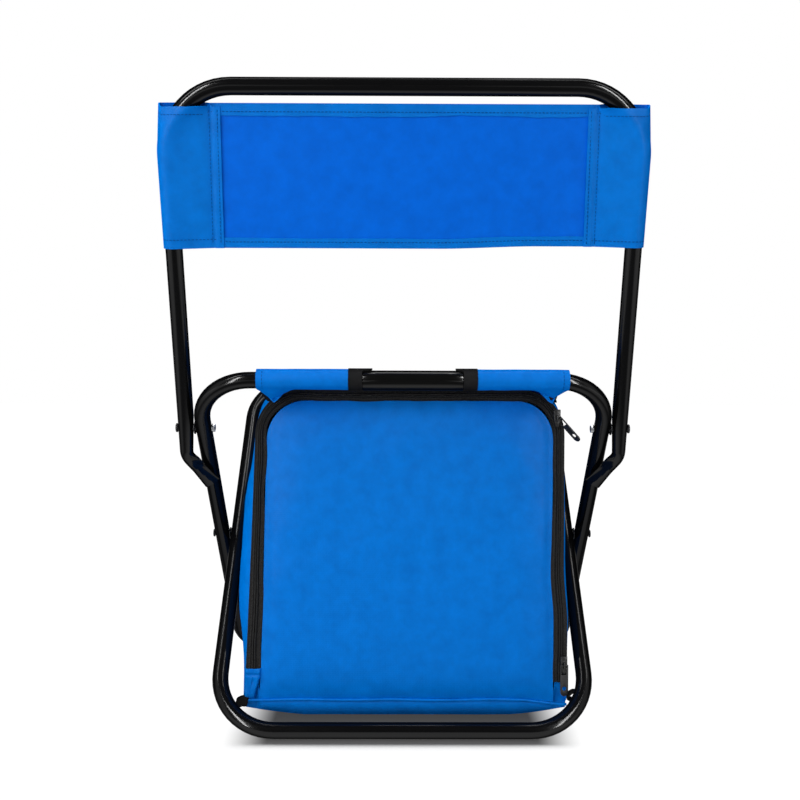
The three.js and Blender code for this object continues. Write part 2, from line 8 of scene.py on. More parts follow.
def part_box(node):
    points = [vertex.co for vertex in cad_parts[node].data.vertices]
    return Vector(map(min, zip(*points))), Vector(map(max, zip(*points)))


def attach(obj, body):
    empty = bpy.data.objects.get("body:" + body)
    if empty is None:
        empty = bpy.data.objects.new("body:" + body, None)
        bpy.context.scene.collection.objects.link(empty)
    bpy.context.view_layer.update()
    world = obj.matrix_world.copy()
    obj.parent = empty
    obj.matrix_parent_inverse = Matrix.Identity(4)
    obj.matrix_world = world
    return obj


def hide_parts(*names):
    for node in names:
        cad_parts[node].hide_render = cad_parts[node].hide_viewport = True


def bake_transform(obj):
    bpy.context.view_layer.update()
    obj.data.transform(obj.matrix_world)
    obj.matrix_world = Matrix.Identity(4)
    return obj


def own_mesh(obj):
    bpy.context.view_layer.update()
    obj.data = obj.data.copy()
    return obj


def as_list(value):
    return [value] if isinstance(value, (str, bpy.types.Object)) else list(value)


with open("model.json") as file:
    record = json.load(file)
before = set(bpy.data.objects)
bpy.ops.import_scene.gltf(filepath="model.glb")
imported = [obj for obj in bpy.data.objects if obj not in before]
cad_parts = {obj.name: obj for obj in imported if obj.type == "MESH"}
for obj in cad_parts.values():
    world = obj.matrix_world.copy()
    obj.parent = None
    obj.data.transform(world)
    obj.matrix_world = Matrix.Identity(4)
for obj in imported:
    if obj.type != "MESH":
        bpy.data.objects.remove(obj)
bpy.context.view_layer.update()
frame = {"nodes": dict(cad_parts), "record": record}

MM = 0.001

# The view: from behind the stool, level with the seat and about a metre from it.
# The lens and the place come from the edges of the round tubes, and the shift from the framing.
camera_place = Vector((-5.05, -972.66, 318.56)) * MM
camera_turn = math.radians(-0.29)
camera_tilt = math.radians(90 - 0.84)
camera_roll = math.radians(0.17)
camera_data = bpy.data.cameras.new("camera")
camera_data.lens = 43.2
camera_data.sensor_width = 36
camera_data.shift_x = -0.0032
camera = bpy.data.objects.new("camera", camera_data)
camera.matrix_world = (
    Matrix.Translation(camera_place)
    @ Matrix.Rotation(camera_turn, 4, "Z")
    @ Matrix.Rotation(camera_tilt, 4, "X")
    @ Matrix.Rotation(camera_roll, 4, "Z")
)
bpy.context.scene.collection.objects.link(camera)
bpy.context.scene.camera = camera
bpy.context.scene.view_settings.view_transform = "Standard"


# The studio: wide soft washes that light the cloth, and narrow strips and dim panels for the tubes' gloss.
# The washes don't show in the gloss, so that the tubes stay black between the strips.
def add_node(tree, kind, values=(), settings=(), links=()):
    node = tree.nodes.new(kind)
    for name, value in dict(settings).items():
        setattr(node, name, value)
    for name, value in dict(values).items():
        node.inputs[name].default_value = value
    for name, source in dict(links).items():
        tree.links.new(source, node.inputs[name])
    return node


def soft_light(name, width, height, place, aim, power):
    """A flat rectangular lamp, with its sizes in metres and its power in watts."""
    data = bpy.data.lights.new(name, "AREA")
    data.shape = "RECTANGLE"
    data.size = width
    data.size_y = height
    data.energy = power
    light = bpy.data.objects.new(name, data)
    light.location = place
    light.rotation_euler = (Vector(place) - Vector(aim)).to_track_quat("Z", "Y").to_euler()
    bpy.context.scene.collection.objects.link(light)
    return light


light_aim = (0, 0, 0.3)
wash_lights = [
    soft_light("front_wash", 2.2, 1.9, (-1.2, -1.7, 1.1), light_aim, 34),
    soft_light("top_wash", 1.8, 1.2, (0.1, -0.3, 2.1), light_aim, 18),
    soft_light("back_wash", 1.6, 1.6, (0.4, 2.2, 1.1), light_aim, 12),
]
for light in wash_lights:
    light.visible_glossy = False
gloss_lights = [soft_light("gloss_top", 0.8, 0.5, (0.1, 0.2, 1.9), light_aim, 10)]
for hand in (-1, 1):
    gloss_lights.append(soft_light("gloss_strip", 0.14, 1.5, (hand * 0.95, -1.35, 0.8), light_aim, 24))
    gloss_lights.append(soft_light("gloss_panel", 0.9, 1.5, (hand * 1.5, -0.6, 0.6), light_aim, 2.4))
    gloss_lights.append(soft_light("gloss_rib", 0.1, 1.2, (hand * 0.62, -0.35, 1.45), light_aim, 4.4))
for light in gloss_lights:
    light.visible_diffuse = False

world = bpy.data.worlds.new("studio")
world.use_nodes = True
bpy.context.scene.world = world
sky = world.node_tree
sky.nodes.clear()
sky_mirrored = 0.07
sky_fill = 0.42
larger = {"operation": "MAXIMUM"}
rays = add_node(sky, "ShaderNodeLightPath")
seen = add_node(sky, "ShaderNodeMath", settings=larger, links={
    0: rays.outputs["Is Camera Ray"], 1: rays.outputs["Is Transmission Ray"]})
diffuse_share = add_node(sky, "ShaderNodeMapRange", {"To Min": sky_mirrored, "To Max": sky_fill}, links={
    "Value": rays.outputs["Is Diffuse Ray"]})
room = add_node(sky, "ShaderNodeMath", settings=larger, links={
    0: seen.outputs[0], 1: diffuse_share.outputs[0]})
backing = add_node(sky, "ShaderNodeBackground", {"Color": (1, 1, 1, 1)}, links={
    "Strength": room.outputs[0]})
add_node(sky, "ShaderNodeOutputWorld", links={"Surface": backing.outputs[0]})


# The floor: one plain pale sheet that the stool's two bottom rails lie on.
# It glows white to the camera, and under the rails and the bag its glow is darkened by a painted shadow,
# darker where less sky is open above it and only within a width about the middle. What the tubes' gloss
# mirrors of it is a painted glow, bright close to the stool and far out at its sides, and dim between the
# two.
def linear(code):
    """An sRGB colour written in hex, as linear values."""
    parts = [int(code[i:i + 2], 16) / 255 for i in (1, 3, 5)]
    return tuple(p / 12.92 if p <= 0.04045 else ((p + 0.055) / 1.055) ** 2.4 for p in parts) + (1.0,)


def new_material(name):
    material = bpy.data.materials.new(name)
    material.use_nodes = True
    material.node_tree.nodes.clear()
    return material


tube_radius = 7.5 * MM
foot_sides = 16
foot_height = tube_radius * math.cos(math.pi / foot_sides)
floor_size = 30
contact_reach = 50 * MM
contact_dark = 0.055
shadow_half_width = 114 * MM
shadow_fade = 54 * MM
open_share_dark = 0.74
open_share_clear = 0.95
floor_bounce = 0.55
mirror_dim = 0.05
mirror_side = 0.9
near_mirror_end = 0.25
near_mirror_gone = 0.55
side_mirror_start = 0.45
side_mirror_full = 0.8
bpy.ops.object.select_all(action="DESELECT")
bpy.ops.mesh.primitive_plane_add(size=floor_size, location=(0, 0, foot_height - tube_radius))
floor = bpy.context.object
floor.name = "floor"
floor_paper = new_material("white_floor_paper")
tree = floor_paper.node_tree
floor_rays = add_node(tree, "ShaderNodeLightPath")
matt = add_node(tree, "ShaderNodeBsdfDiffuse", {"Color": linear("#484848")})
floor_seen = add_node(tree, "ShaderNodeMath", settings=larger, links={
    0: floor_rays.outputs["Is Camera Ray"], 1: floor_rays.outputs["Is Transmission Ray"]})
# Painted contact shadow: the glow dims where the occlusion finds little open sky, and fades out beyond a
# width about the middle.
open_sky = add_node(tree, "ShaderNodeAmbientOcclusion", {"Distance": contact_reach}, settings={"samples": 24})
eased = {"interpolation_type": "SMOOTHSTEP"}
contact = add_node(tree, "ShaderNodeMapRange", {
    "From Min": open_share_dark, "From Max": open_share_clear, "To Min": contact_dark}, eased, {
    "Value": open_sky.outputs["AO"]})
floor_place = add_node(tree, "ShaderNodeTexCoord")
floor_side = add_node(tree, "ShaderNodeSeparateXYZ", links={"Vector": floor_place.outputs["Object"]})
from_middle = add_node(tree, "ShaderNodeMath", settings={"operation": "ABSOLUTE"}, links={
    0: floor_side.outputs["X"]})
shadow_end = add_node(tree, "ShaderNodeMapRange", {
    "From Min": shadow_half_width, "From Max": shadow_half_width + shadow_fade}, eased, {
    "Value": from_middle.outputs[0]})
shadow = add_node(tree, "ShaderNodeMath", settings=larger, links={
    0: contact.outputs["Result"], 1: shadow_end.outputs["Result"]})
from_stool = add_node(tree, "ShaderNodeVectorMath", settings={"operation": "LENGTH"}, links={
    0: floor_place.outputs["Object"]})
near_glow = add_node(tree, "ShaderNodeMapRange", {
    "From Min": near_mirror_end, "From Max": near_mirror_gone, "To Min": 1.0, "To Max": mirror_dim}, eased, {
    "Value": from_stool.outputs["Value"]})
side_glow = add_node(tree, "ShaderNodeMapRange", {
    "From Min": side_mirror_start, "From Max": side_mirror_full,
    "To Min": mirror_dim, "To Max": mirror_side}, eased, {
    "Value": from_middle.outputs[0]})
mirrored = add_node(tree, "ShaderNodeMath", settings=larger, links={
    0: near_glow.outputs["Result"], 1: side_glow.outputs["Result"]})
plain_glow = add_node(tree, "ShaderNodeMapRange", {"To Min": floor_bounce}, links={
    "Value": floor_seen.outputs[0]})
shaded_glow = add_node(tree, "ShaderNodeMath", settings={"operation": "MULTIPLY"}, links={
    0: plain_glow.outputs["Result"], 1: shadow.outputs[0]})
lift = add_node(tree, "ShaderNodeMix", settings={"data_type": "FLOAT"}, links={
    0: floor_rays.outputs["Is Glossy Ray"], 2: shaded_glow.outputs[0], 3: mirrored.outputs[0]})
glow = add_node(tree, "ShaderNodeEmission", {"Color": (1, 1, 1, 1)}, links={"Strength": lift.outputs[0]})
both = add_node(tree, "ShaderNodeAddShader", links={0: matt.outputs[0], 1: glow.outputs[0]})
add_node(tree, "ShaderNodeOutputMaterial", links={"Surface": both.outputs[0]})
floor.data.materials.append(floor_paper)


# The two seat frames: closed loops of 15 mm steel tube, bent round a former, then powder coated gloss
# black. The outer loop carries the seat's rear rail and the front foot, the inner one the front rail
# and the rear foot.
noise_span = {"From Min": 0.3, "From Max": 0.7}


def painted_steel(name, colour, roughness, grain_mm):
    """A glossy black skin: uneven in its shine over wide patches, and fading where it turns away."""
    patch_size = 40 * MM
    peel_depth = 0.05 * MM
    shine = 0.26
    material = new_material(name)
    tree = material.node_tree
    place = add_node(tree, "ShaderNodeTexCoord")
    peel = add_node(tree, "ShaderNodeTexNoise", {"Scale": 1 / (grain_mm * MM), "Detail": 2.0}, links={
        "Vector": place.outputs["Object"]})
    patches = add_node(tree, "ShaderNodeTexNoise", {"Scale": 1 / patch_size, "Detail": 4.0}, links={
        "Vector": place.outputs["Object"]})
    rough = add_node(tree, "ShaderNodeMapRange", {
        **noise_span, "To Min": roughness * 0.85, "To Max": roughness * 1.2}, links={
        "Value": patches.outputs["Fac"]})
    bump = add_node(tree, "ShaderNodeBump", {"Strength": 0.12, "Distance": peel_depth}, links={
        "Height": peel.outputs["Fac"]})
    turned = add_node(tree, "ShaderNodeLayerWeight", {"Blend": 0.5})
    gloss = add_node(tree, "ShaderNodeMapRange", {
        "From Min": 0.2, "From Max": 0.45, "To Min": shine, "To Max": 0.005}, links={
        "Value": turned.outputs["Facing"]})
    # The shine also stands on the socket itself, for a program that doesn't read what is linked to it.
    coat = add_node(tree, "ShaderNodeBsdfPrincipled", {
        "Base Color": linear(colour), "IOR": 1.5, "Specular IOR Level": shine}, links={
        "Roughness": rough.outputs["Result"], "Normal": bump.outputs["Normal"],
        "Specular IOR Level": gloss.outputs["Result"]})
    add_node(tree, "ShaderNodeOutputMaterial", links={"Surface": coat.outputs[0]})
    return material


# Powder coat: a melted gloss film with a faint orange peel, the lumps about 1.5 mm across.
gloss_powder_coat = painted_steel("gloss_black_powder_coat", "#080809", 0.15, 1.5)


def in_edit(obj):
    bpy.ops.object.select_all(action="DESELECT")
    bpy.context.view_layer.objects.active = obj
    obj.select_set(True)
    bpy.ops.object.mode_set(mode="EDIT")
    bpy.ops.mesh.select_all(action="SELECT")


def out_of_edit():
    bpy.ops.object.mode_set(mode="OBJECT")


def put_in_place(obj):
    bpy.ops.object.select_all(action="DESELECT")
    bpy.context.view_layer.objects.active = obj
    obj.select_set(True)
    bpy.ops.object.transform_apply(location=True, rotation=True, scale=True)


def tube_start(name, centre, along, radius, sides):
    bpy.ops.object.select_all(action="DESELECT")
    facing = Vector(along).to_track_quat("Z", "Y").to_euler()
    bpy.ops.mesh.primitive_circle_add(vertices=sides, radius=radius, location=centre, rotation=facing)
    tube = bpy.context.object
    tube.name = name
    put_in_place(tube)
    in_edit(tube)
    return tube


def tube_straight(step, pieces=1):
    for _ in range(pieces):
        bpy.ops.mesh.extrude_region_move(TRANSFORM_OT_translate={"value": Vector(step) / pieces})


def tube_bend(centre, axis, angle, steps):
    """Bends by the angle about the axis. The spin operator counts its angle the other way round."""
    bpy.ops.mesh.spin(steps=steps, angle=-angle, center=centre, axis=axis)


def close_ends(obj):
    """Fills each open end of a tube with one face."""
    in_edit(obj)
    bpy.ops.mesh.select_all(action="DESELECT")
    bpy.ops.mesh.select_non_manifold()
    bpy.ops.mesh.edge_face_add()
    out_of_edit()


merge_distance = 1e-6


def finish_mesh(obj, smooth_degrees=40):
    in_edit(obj)
    bpy.ops.mesh.remove_doubles(threshold=merge_distance)
    bpy.ops.mesh.normals_make_consistent(inside=False)
    out_of_edit()
    bpy.ops.object.shade_smooth_by_angle(angle=math.radians(smooth_degrees))


def dress(obj, material, slot, body, nodes=()):
    """Gives a piece its finish and the body that it moves with, and hides the plain solids it stands for. The
    slot is not used.
    """
    obj.data.materials.clear()
    obj.data.materials.append(material)
    if nodes:
        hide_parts(*nodes)
    if body:
        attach(obj, body)
    return obj


rail_spread = 271 * MM
rail_rise = 316 * MM
leg_lean = math.atan(rail_spread / rail_rise)
frame_length = math.hypot(rail_spread, rail_rise)
joints = {joint["name"]: joint for joint in frame["record"]["behaviour"]["joints"]}
cross = Vector(joints["outer_frame_fold"]["pos_m"])
outer_width = 373 * MM
leg_step = 16.2 * MM
inner_width = outer_width - 2 * leg_step
outer_bend = 49 * MM
inner_bend = 55 * MM
bend_steps = 14
tube_sides = 32
across = Vector((1, 0, 0))


def frame_loop(name, width, bend_radius, top_side):
    """A closed rounded rectangle of tube, leaning about the cross rivets' line."""
    up = Vector((0, top_side * math.sin(leg_lean), math.cos(leg_lean)))
    out = across.cross(up)
    x = width / 2 - bend_radius
    z = frame_length / 2 - bend_radius
    tube = tube_start(name, cross - x * across + (z + bend_radius) * up, across, tube_radius, tube_sides)
    corners = [(x, z), (x, -z), (-x, -z), (-x, z)]
    runs = [2 * x * across, -2 * z * up, -2 * x * across, 2 * z * up]
    for (cx, cz), run in zip(corners, runs):
        tube_straight(run)
        tube_bend(cross + cx * across + cz * up, out, -math.pi / 2, bend_steps)
    out_of_edit()
    finish_mesh(tube)
    return tube


outer_loop = frame_loop("outer_frame_loop", outer_width, outer_bend, -1)
dress(outer_loop, gloss_powder_coat, "black_paint", "outer_frame", ["outer_frame_tube"])
inner_loop = frame_loop("inner_frame_loop", inner_width, inner_bend, 1)
dress(inner_loop, gloss_powder_coat, "black_paint", "inner_frame", ["inner_frame_tube"])


# The backrest tube: the same tube bent to an upturned U outside the outer frame's legs.
# Its lower ends are bent in and crushed to gutters that lie against the legs and stop the backrest.
back_pivot = Vector(joints["backrest_swing"]["pos_m"])
back_lean = math.radians(17.2)
arm_step = 16.4 * MM
back_width = outer_width + 2 * arm_step
back_height = 304.5 * MM
back_bend = 57 * MM
hook_drop = 22 * MM
hook_bend = 18 * MM
hook_angle = math.radians(30)
hook_run = 34 * MM
hook_reach = 11 * MM
crushed_half_width = 8.2 * MM
crushed_half_depth = 4.6 * MM
crease_depth = 4.6 * MM
hook_neck = 6.2 * MM
crush_lead = 10 * MM
crush_length_share = 0.75
crush_zone_share = 0.6
round_lead = 9 * MM
crease_ridge = 0.35
shoulder_width = 2.6 * MM
shoulder_place = -4 * MM
shoulder_length = 5 * MM
leg_clearance = 0.4 * MM
hook_pieces = 14
hook_bend_steps = 12
arm_pieces = 8
arm_sides = 40
back_up = Vector((0, -math.sin(back_lean), math.cos(back_lean)))
back_out = Vector((0, math.cos(back_lean), math.sin(back_lean)))


def in_backrest(x, y, z):
    """A point given sideways, forwards and up along the leaning backrest from its pivot."""
    return back_pivot + x * across + y * back_out + z * back_up


def smooth(value, low, high):
    t = min(max((value - low) / (high - low), 0), 1)
    return t * t * (3 - 2 * t)


def mix(a, b, share):
    return a + (b - a) * share


def crush(tube, side):
    """Flattens the tube beyond the hook's bend, and presses it round the leg that it leans on."""
    turn_centre = in_backrest(side * (back_width / 2 - hook_bend), 0, -hook_drop)
    width_way = side * math.cos(hook_angle) * across - math.sin(hook_angle) * back_up
    start = turn_centre + hook_bend * width_way
    run = -side * math.sin(hook_angle) * across - math.cos(hook_angle) * back_up
    leg_way = Vector((0, math.sin(leg_lean), -math.cos(leg_lean)))
    leg_start = Vector((side * outer_width / 2, back_pivot.y, back_pivot.z))
    press = leg_way.cross(across).normalized()
    if press.y > 0:
        press = -press
    clear = tube_radius + leg_clearance
    for vertex in tube.data.vertices:
        from_pivot = vertex.co - back_pivot
        if from_pivot.dot(across) * side < 0 or from_pivot.dot(back_up) > -hook_drop * crush_zone_share:
            continue
        along = (vertex.co - start).dot(run)
        share = smooth(along, -crush_lead, hook_run * crush_length_share - crush_lead)
        centre = start + along * run
        if along > -round_lead:
            offset = vertex.co - centre
            w = offset.dot(width_way) / tube_radius
            d = offset.dot(back_out) / tube_radius
            down = min(max(along / hook_run, 0), 1)
            ridge = mix(crease_ridge, -crease_ridge, down)
            valley = min(max((ridge - w) / (ridge + 1), 0), 1)
            crease = math.sin(math.pi * valley) ** 0.5 * crease_depth if d < 0 else 0
            half_width = mix(hook_neck, crushed_half_width, down)
            w_new = mix(w * tube_radius, w * half_width, share)
            d_new = mix(d * tube_radius, d * crushed_half_depth + crease, share)
            if w < 0:
                w_new -= w * shoulder_width * math.exp(-((along - shoulder_place) / shoulder_length) ** 2)
            vertex.co = centre + w_new * width_way + (d_new + share * hook_reach * down) * back_out
        near = vertex.co - leg_start
        near -= near.dot(leg_way) * leg_way
        side_way = near.dot(across)
        if abs(side_way) < clear:
            wanted = math.sqrt(clear ** 2 - side_way ** 2)
            depth = near.dot(press)
            if depth < wanted:
                vertex.co += (wanted - depth) * press


def backrest_loop():
    """Drawn out from the left hook's end, over the top and down to the right hook's end."""
    side_x = back_width / 2
    hook_x = side_x - hook_bend
    top_x = side_x - back_bend
    top_z = back_height - back_bend
    way_in = math.sin(hook_angle) * across - math.cos(hook_angle) * back_up
    bend_end = in_backrest(-hook_x, 0, -hook_drop) - hook_bend * (
        math.cos(hook_angle) * across + math.sin(hook_angle) * back_up)
    tube = tube_start("backrest_loop", bend_end + hook_run * way_in, -way_in, tube_radius, arm_sides)
    tube_straight(-hook_run * way_in, hook_pieces)
    tube_bend(in_backrest(-hook_x, 0, -hook_drop), back_out, hook_angle, hook_bend_steps)
    tube_straight((top_z + hook_drop) * back_up, arm_pieces)
    tube_bend(in_backrest(-top_x, 0, top_z), back_out, math.pi / 2, bend_steps)
    tube_straight(2 * top_x * across)
    tube_bend(in_backrest(top_x, 0, top_z), back_out, math.pi / 2, bend_steps)
    tube_straight(-(top_z + hook_drop) * back_up, arm_pieces)
    tube_bend(in_backrest(hook_x, 0, -hook_drop), back_out, hook_angle, hook_bend_steps)
    way_back = -math.sin(hook_angle) * across - math.cos(hook_angle) * back_up
    tube_straight(hook_run * way_back, hook_pieces)
    out_of_edit()
    close_ends(tube)
    for side in (-1, 1):
        crush(tube, side)
    finish_mesh(tube)
    return tube


back_loop = backrest_loop()
dress(back_loop, gloss_powder_coat, "black_paint", "backrest", ["backrest_tube"])


# Fasteners: zinc rivets and washers coloured dark as painted shade, bright nuts, and bolts with dark low
# heads outside the arms.
# Each is turned or pressed steel, and its edges are broken by a small bevel.
def metal(name, colour, metallic, roughness, grain_mm):
    """A plated or enamelled skin with a fine grain that also roughens it."""
    grain_depth = 0.03 * MM
    material = new_material(name)
    tree = material.node_tree
    place = add_node(tree, "ShaderNodeTexCoord")
    grain = add_node(tree, "ShaderNodeTexNoise", {"Scale": 1 / (grain_mm * MM), "Detail": 3.0}, links={
        "Vector": place.outputs["Object"]})
    rough = add_node(tree, "ShaderNodeMapRange", {
        **noise_span, "To Min": roughness * 0.8, "To Max": roughness * 1.25}, links={
        "Value": grain.outputs["Fac"]})
    bump = add_node(tree, "ShaderNodeBump", {"Strength": 0.2, "Distance": grain_depth}, links={
        "Height": grain.outputs["Fac"]})
    steel = add_node(tree, "ShaderNodeBsdfPrincipled", {
        "Base Color": linear(colour), "Metallic": metallic}, links={
        "Roughness": rough.outputs["Result"], "Normal": bump.outputs["Normal"]})
    add_node(tree, "ShaderNodeOutputMaterial", links={"Surface": steel.outputs[0]})
    return material


# Zinc plate: a bright, slightly blue metal skin with a fine crystal grain.
bright_zinc_plate = metal("bright_zinc_plate", "#c9ccd0", 1.0, 0.3, 0.8)
# Zinc plate on the rivets and washers, coloured near black as painted shade for where they sit between the
# black tubes.
shade_darkened_zinc_plate = metal("shade_darkened_zinc_plate", "#2b2c2e", 0.8, 0.45, 0.8)
# Black nickel on the bolts' heads and the lower pull: dark, half metallic and softly shiny.
black_nickel_plate = metal("black_nickel_plate", "#2c2c2f", 0.4, 0.4, 0.8)
# Black enamel on die-cast zinc: the zip sliders and the upper pull, near black with a dull shine.
black_enamel = metal("black_enamel", "#0c0c0d", 0.1, 0.4, 0.8)


def softened(node, name, bevel, material, slot, body):
    """A copy of a plain solid with its sharp edges broken."""
    bpy.ops.object.select_all(action="DESELECT")
    source = frame["nodes"][node]
    piece = bpy.data.objects.new(name, source.data.copy())
    bpy.context.scene.collection.objects.link(piece)
    in_edit(piece)
    bpy.ops.mesh.remove_doubles(threshold=merge_distance)
    bpy.ops.mesh.dissolve_limited(angle_limit=math.radians(2))
    out_of_edit()
    rounding = piece.modifiers.new("broken_edges", "BEVEL")
    rounding.width = bevel
    rounding.segments = 2
    rounding.limit_method = "ANGLE"
    rounding.angle_limit = math.radians(35)
    bpy.ops.object.modifier_apply(modifier=rounding.name)
    bpy.ops.object.shade_smooth_by_angle(angle=math.radians(32))
    return dress(piece, material, slot, body, [node])


# The rivets and washers take the zinc plate darkened with painted shade.
for hand in ("left", "right"):
    for node, name, bevel, plate, slot, body in (
            ("cross_rivet", "rivet", 0.5 * MM, shade_darkened_zinc_plate, "zinc_steel", "cooler_seat"),
            ("cross_washer", "spacer", 0.12 * MM, shade_darkened_zinc_plate, "zinc_steel", "cooler_seat"),
            ("backrest_bolt", "bolt", 0.6 * MM, black_nickel_plate, "black_zinc", "outer_frame"),
            ("backrest_nut", "nut", 0.4 * MM, bright_zinc_plate, "zinc_steel", "outer_frame"),
            ("backrest_washer", "washer", 0.15 * MM, shade_darkened_zinc_plate, "zinc_steel", "outer_frame")):
        softened(f"{node}_{hand}", f"{name}_{hand}", bevel, plate, slot, body)


# The backrest band: one strip of coated polyester whose ends wrap round the arms and are sewn down behind.
# From behind, the sleeves show the woven face, and the middle shows the smooth coated back.
cloth_smoothing = 60


def cloth_wall(piece, thickness):
    """Gives a sheet its thickness, half to each side."""
    wall = piece.modifiers.new("thickness", "SOLIDIFY")
    wall.thickness = thickness
    wall.offset = 0
    bpy.context.view_layer.objects.active = piece
    bpy.ops.object.modifier_apply(modifier=wall.name)
    finish_mesh(piece, cloth_smoothing)


def cloth(name, columns, rows, place, flat, thickness, loop=False):
    """A flat grid moved point by point to where the cloth hangs, then given its thickness."""
    bpy.ops.object.select_all(action="DESELECT")
    bpy.ops.mesh.primitive_grid_add(x_subdivisions=columns, y_subdivisions=rows, size=1)
    piece = bpy.context.object
    piece.name = name
    mesh = piece.data
    shares = [(v.co.x + 0.5, v.co.y + 0.5) for v in mesh.vertices]
    layer = mesh.uv_layers.active or mesh.uv_layers.new(name="flat")
    for corner in mesh.loops:
        u, v = shares[corner.vertex_index]
        layer.data[corner.index].uv = (u * flat[0], v * flat[1])
    for vertex, (u, v) in zip(mesh.vertices, shares):
        vertex.co = place(u, v)
    if loop:
        in_edit(piece)
        bpy.ops.mesh.remove_doubles(threshold=merge_distance)
        out_of_edit()
    if thickness:
        cloth_wall(piece, thickness)
    else:
        finish_mesh(piece, cloth_smoothing)
    return piece


def fabric(name, colour, shade, thread_mm, weave_depth, roughness, mottle, sheen):
    """Cloth that reads its own flat map, in metres: plain weave, with a soft mottle in its colour."""
    mottle_size = 14 * MM
    shine = 0.045
    material = new_material(name)
    tree = material.node_tree
    place = add_node(tree, "ShaderNodeTexCoord")
    threads = add_node(tree, "ShaderNodeMapping", {"Scale": (1 / (thread_mm * MM),) * 3}, links={
        "Vector": place.outputs["UV"]})
    apart = add_node(tree, "ShaderNodeSeparateXYZ", links={"Vector": threads.outputs[0]})
    waves = []
    for axis in ("X", "Y"):
        turn = add_node(tree, "ShaderNodeMath", {1: math.pi}, {"operation": "MULTIPLY"}, {
            0: apart.outputs[axis]})
        wave = add_node(tree, "ShaderNodeMath", settings={"operation": "SINE"}, links={0: turn.outputs[0]})
        waves.append(add_node(tree, "ShaderNodeMath", settings={"operation": "ABSOLUTE"}, links={
            0: wave.outputs[0]}))
    over = add_node(tree, "ShaderNodeTexChecker", {"Scale": 1.0}, links={"Vector": threads.outputs[0]})
    height = add_node(tree, "ShaderNodeMix", settings={"data_type": "FLOAT"}, links={
        0: over.outputs["Fac"], 2: waves[0].outputs[0], 3: waves[1].outputs[0]})
    patches = add_node(tree, "ShaderNodeTexNoise", {
        "Scale": 1 / mottle_size, "Detail": 5.0, "Roughness": 0.6}, links={"Vector": place.outputs["Object"]})
    blend = add_node(tree, "ShaderNodeMapRange", {
        **noise_span, "To Min": 0.5 - mottle, "To Max": 0.5 + mottle}, links={
        "Value": patches.outputs["Fac"]})
    tone = add_node(tree, "ShaderNodeMix", {6: linear(shade), 7: linear(colour)}, {"data_type": "RGBA"}, {
        0: blend.outputs["Result"]})
    bump = add_node(tree, "ShaderNodeBump", {"Strength": 0.5, "Distance": weave_depth * MM}, links={
        "Height": height.outputs[0]})
    turned = add_node(tree, "ShaderNodeLayerWeight", {"Blend": 0.5})
    gloss = add_node(tree, "ShaderNodeMapRange", {
        "From Min": 0.15, "From Max": 0.5, "To Min": shine, "To Max": 0.0}, links={
        "Value": turned.outputs["Facing"]})
    yarn = add_node(tree, "ShaderNodeBsdfPrincipled", {
        "Roughness": roughness, "Specular IOR Level": shine,
        "Sheen Weight": sheen, "Sheen Roughness": 0.4, "Sheen Tint": linear(colour)}, links={
        "Base Color": tone.outputs[2], "Normal": bump.outputs["Normal"],
        "Specular IOR Level": gloss.outputs["Result"]})
    add_node(tree, "ShaderNodeOutputMaterial", links={"Surface": yarn.outputs[0]})
    return material


# Woven polyester, 600 denier: a matt face with a faint grid of threads. They are 0.5 mm apart, and are
# drawn at 1.4 mm so that the weave shows at all.
blue_woven_polyester = fabric("blue_woven_polyester", "#0078dc", "#006cca", 1.4, 0.12, 0.32, 0.5, 0.01)
# The coated back of the same cloth: a smoother face, since the coating fills the weave, and a blue that
# leans to violet.
blue_coated_polyester = fabric("blue_coated_polyester", "#0069e2", "#0060d2", 1.4, 0.04, 0.32, 0.5, 0.01)
# Polyester sewing thread: a darker, duller blue than the cloth.
blue_thread = fabric("blue_sewing_thread", "#054f9c", "#033c7c", 0.4, 0.1, 0.7, 0.2, 0.1)

band_bottom = 171 * MM
band_top = 291 * MM
cloth_half = 0.6 * MM
sleeve_fold = 158.2 * MM
inner_stitch = 160.8 * MM
outer_stitch = 167.7 * MM
pocket_tuck = 4 * MM
sleeve_skin = 0.75 * MM
sleeve_turn = 0.9 * math.pi
sleeve_samples = 90


def sleeve_section(height, points):
    """From the sewn line behind, round the arm, and back to the sewn line in front; x runs outwards."""
    rise = max(0, height - (back_height - back_bend))
    outer = math.sqrt((back_bend + tube_radius) ** 2 - rise ** 2)
    inner = math.sqrt((back_bend - tube_radius) ** 2 - rise ** 2)
    tube_x = back_width / 2 - back_bend + (outer + inner) / 2
    fold_round = tube_radius / 2 + sleeve_skin
    tuck = pocket_tuck * rise / (band_top - back_height + back_bend)
    rounds = [
        (tube_x, (outer - inner) / 2 + sleeve_skin, tube_radius + sleeve_skin),
        (back_width / 2 + tube_radius / 2 - tuck, fold_round, fold_round),
        (outer_stitch, cloth_half * 1.2, cloth_half * 1.2),
    ]
    line = []
    for i in range(sleeve_samples + 1):
        turn = mix(-sleeve_turn, sleeve_turn, i / sleeve_samples)
        c, s = math.cos(turn), math.sin(turn)
        best = max(rounds, key=lambda r: r[0] * c + math.hypot(r[1] * c, r[2] * s))
        reach = math.hypot(best[1] * c, best[2] * s)
        line.append(Vector((best[0] + best[1] ** 2 * c / reach, best[2] ** 2 * s / reach, 0)))
    return resample(line, points)


def resample(line, count):
    lengths = [0]
    for a, b in zip(line, line[1:]):
        lengths.append(lengths[-1] + (b - a).length)
    result = []
    j = 0
    for i in range(count):
        wanted = lengths[-1] * i / (count - 1)
        while j < len(line) - 2 and lengths[j + 1] < wanted:
            j += 1
        span = max(lengths[j + 1] - lengths[j], 1e-12)
        result.append(line[j].lerp(line[j + 1], (wanted - lengths[j]) / span))
    return result


band_rows = 36
wrap_points = 44
panel_points = 60
hem_points = 4
hem_y = -1.5 * MM
panel_y = 0.4 * MM
panel_gap = 2 * MM
hem_gap = 1 * MM


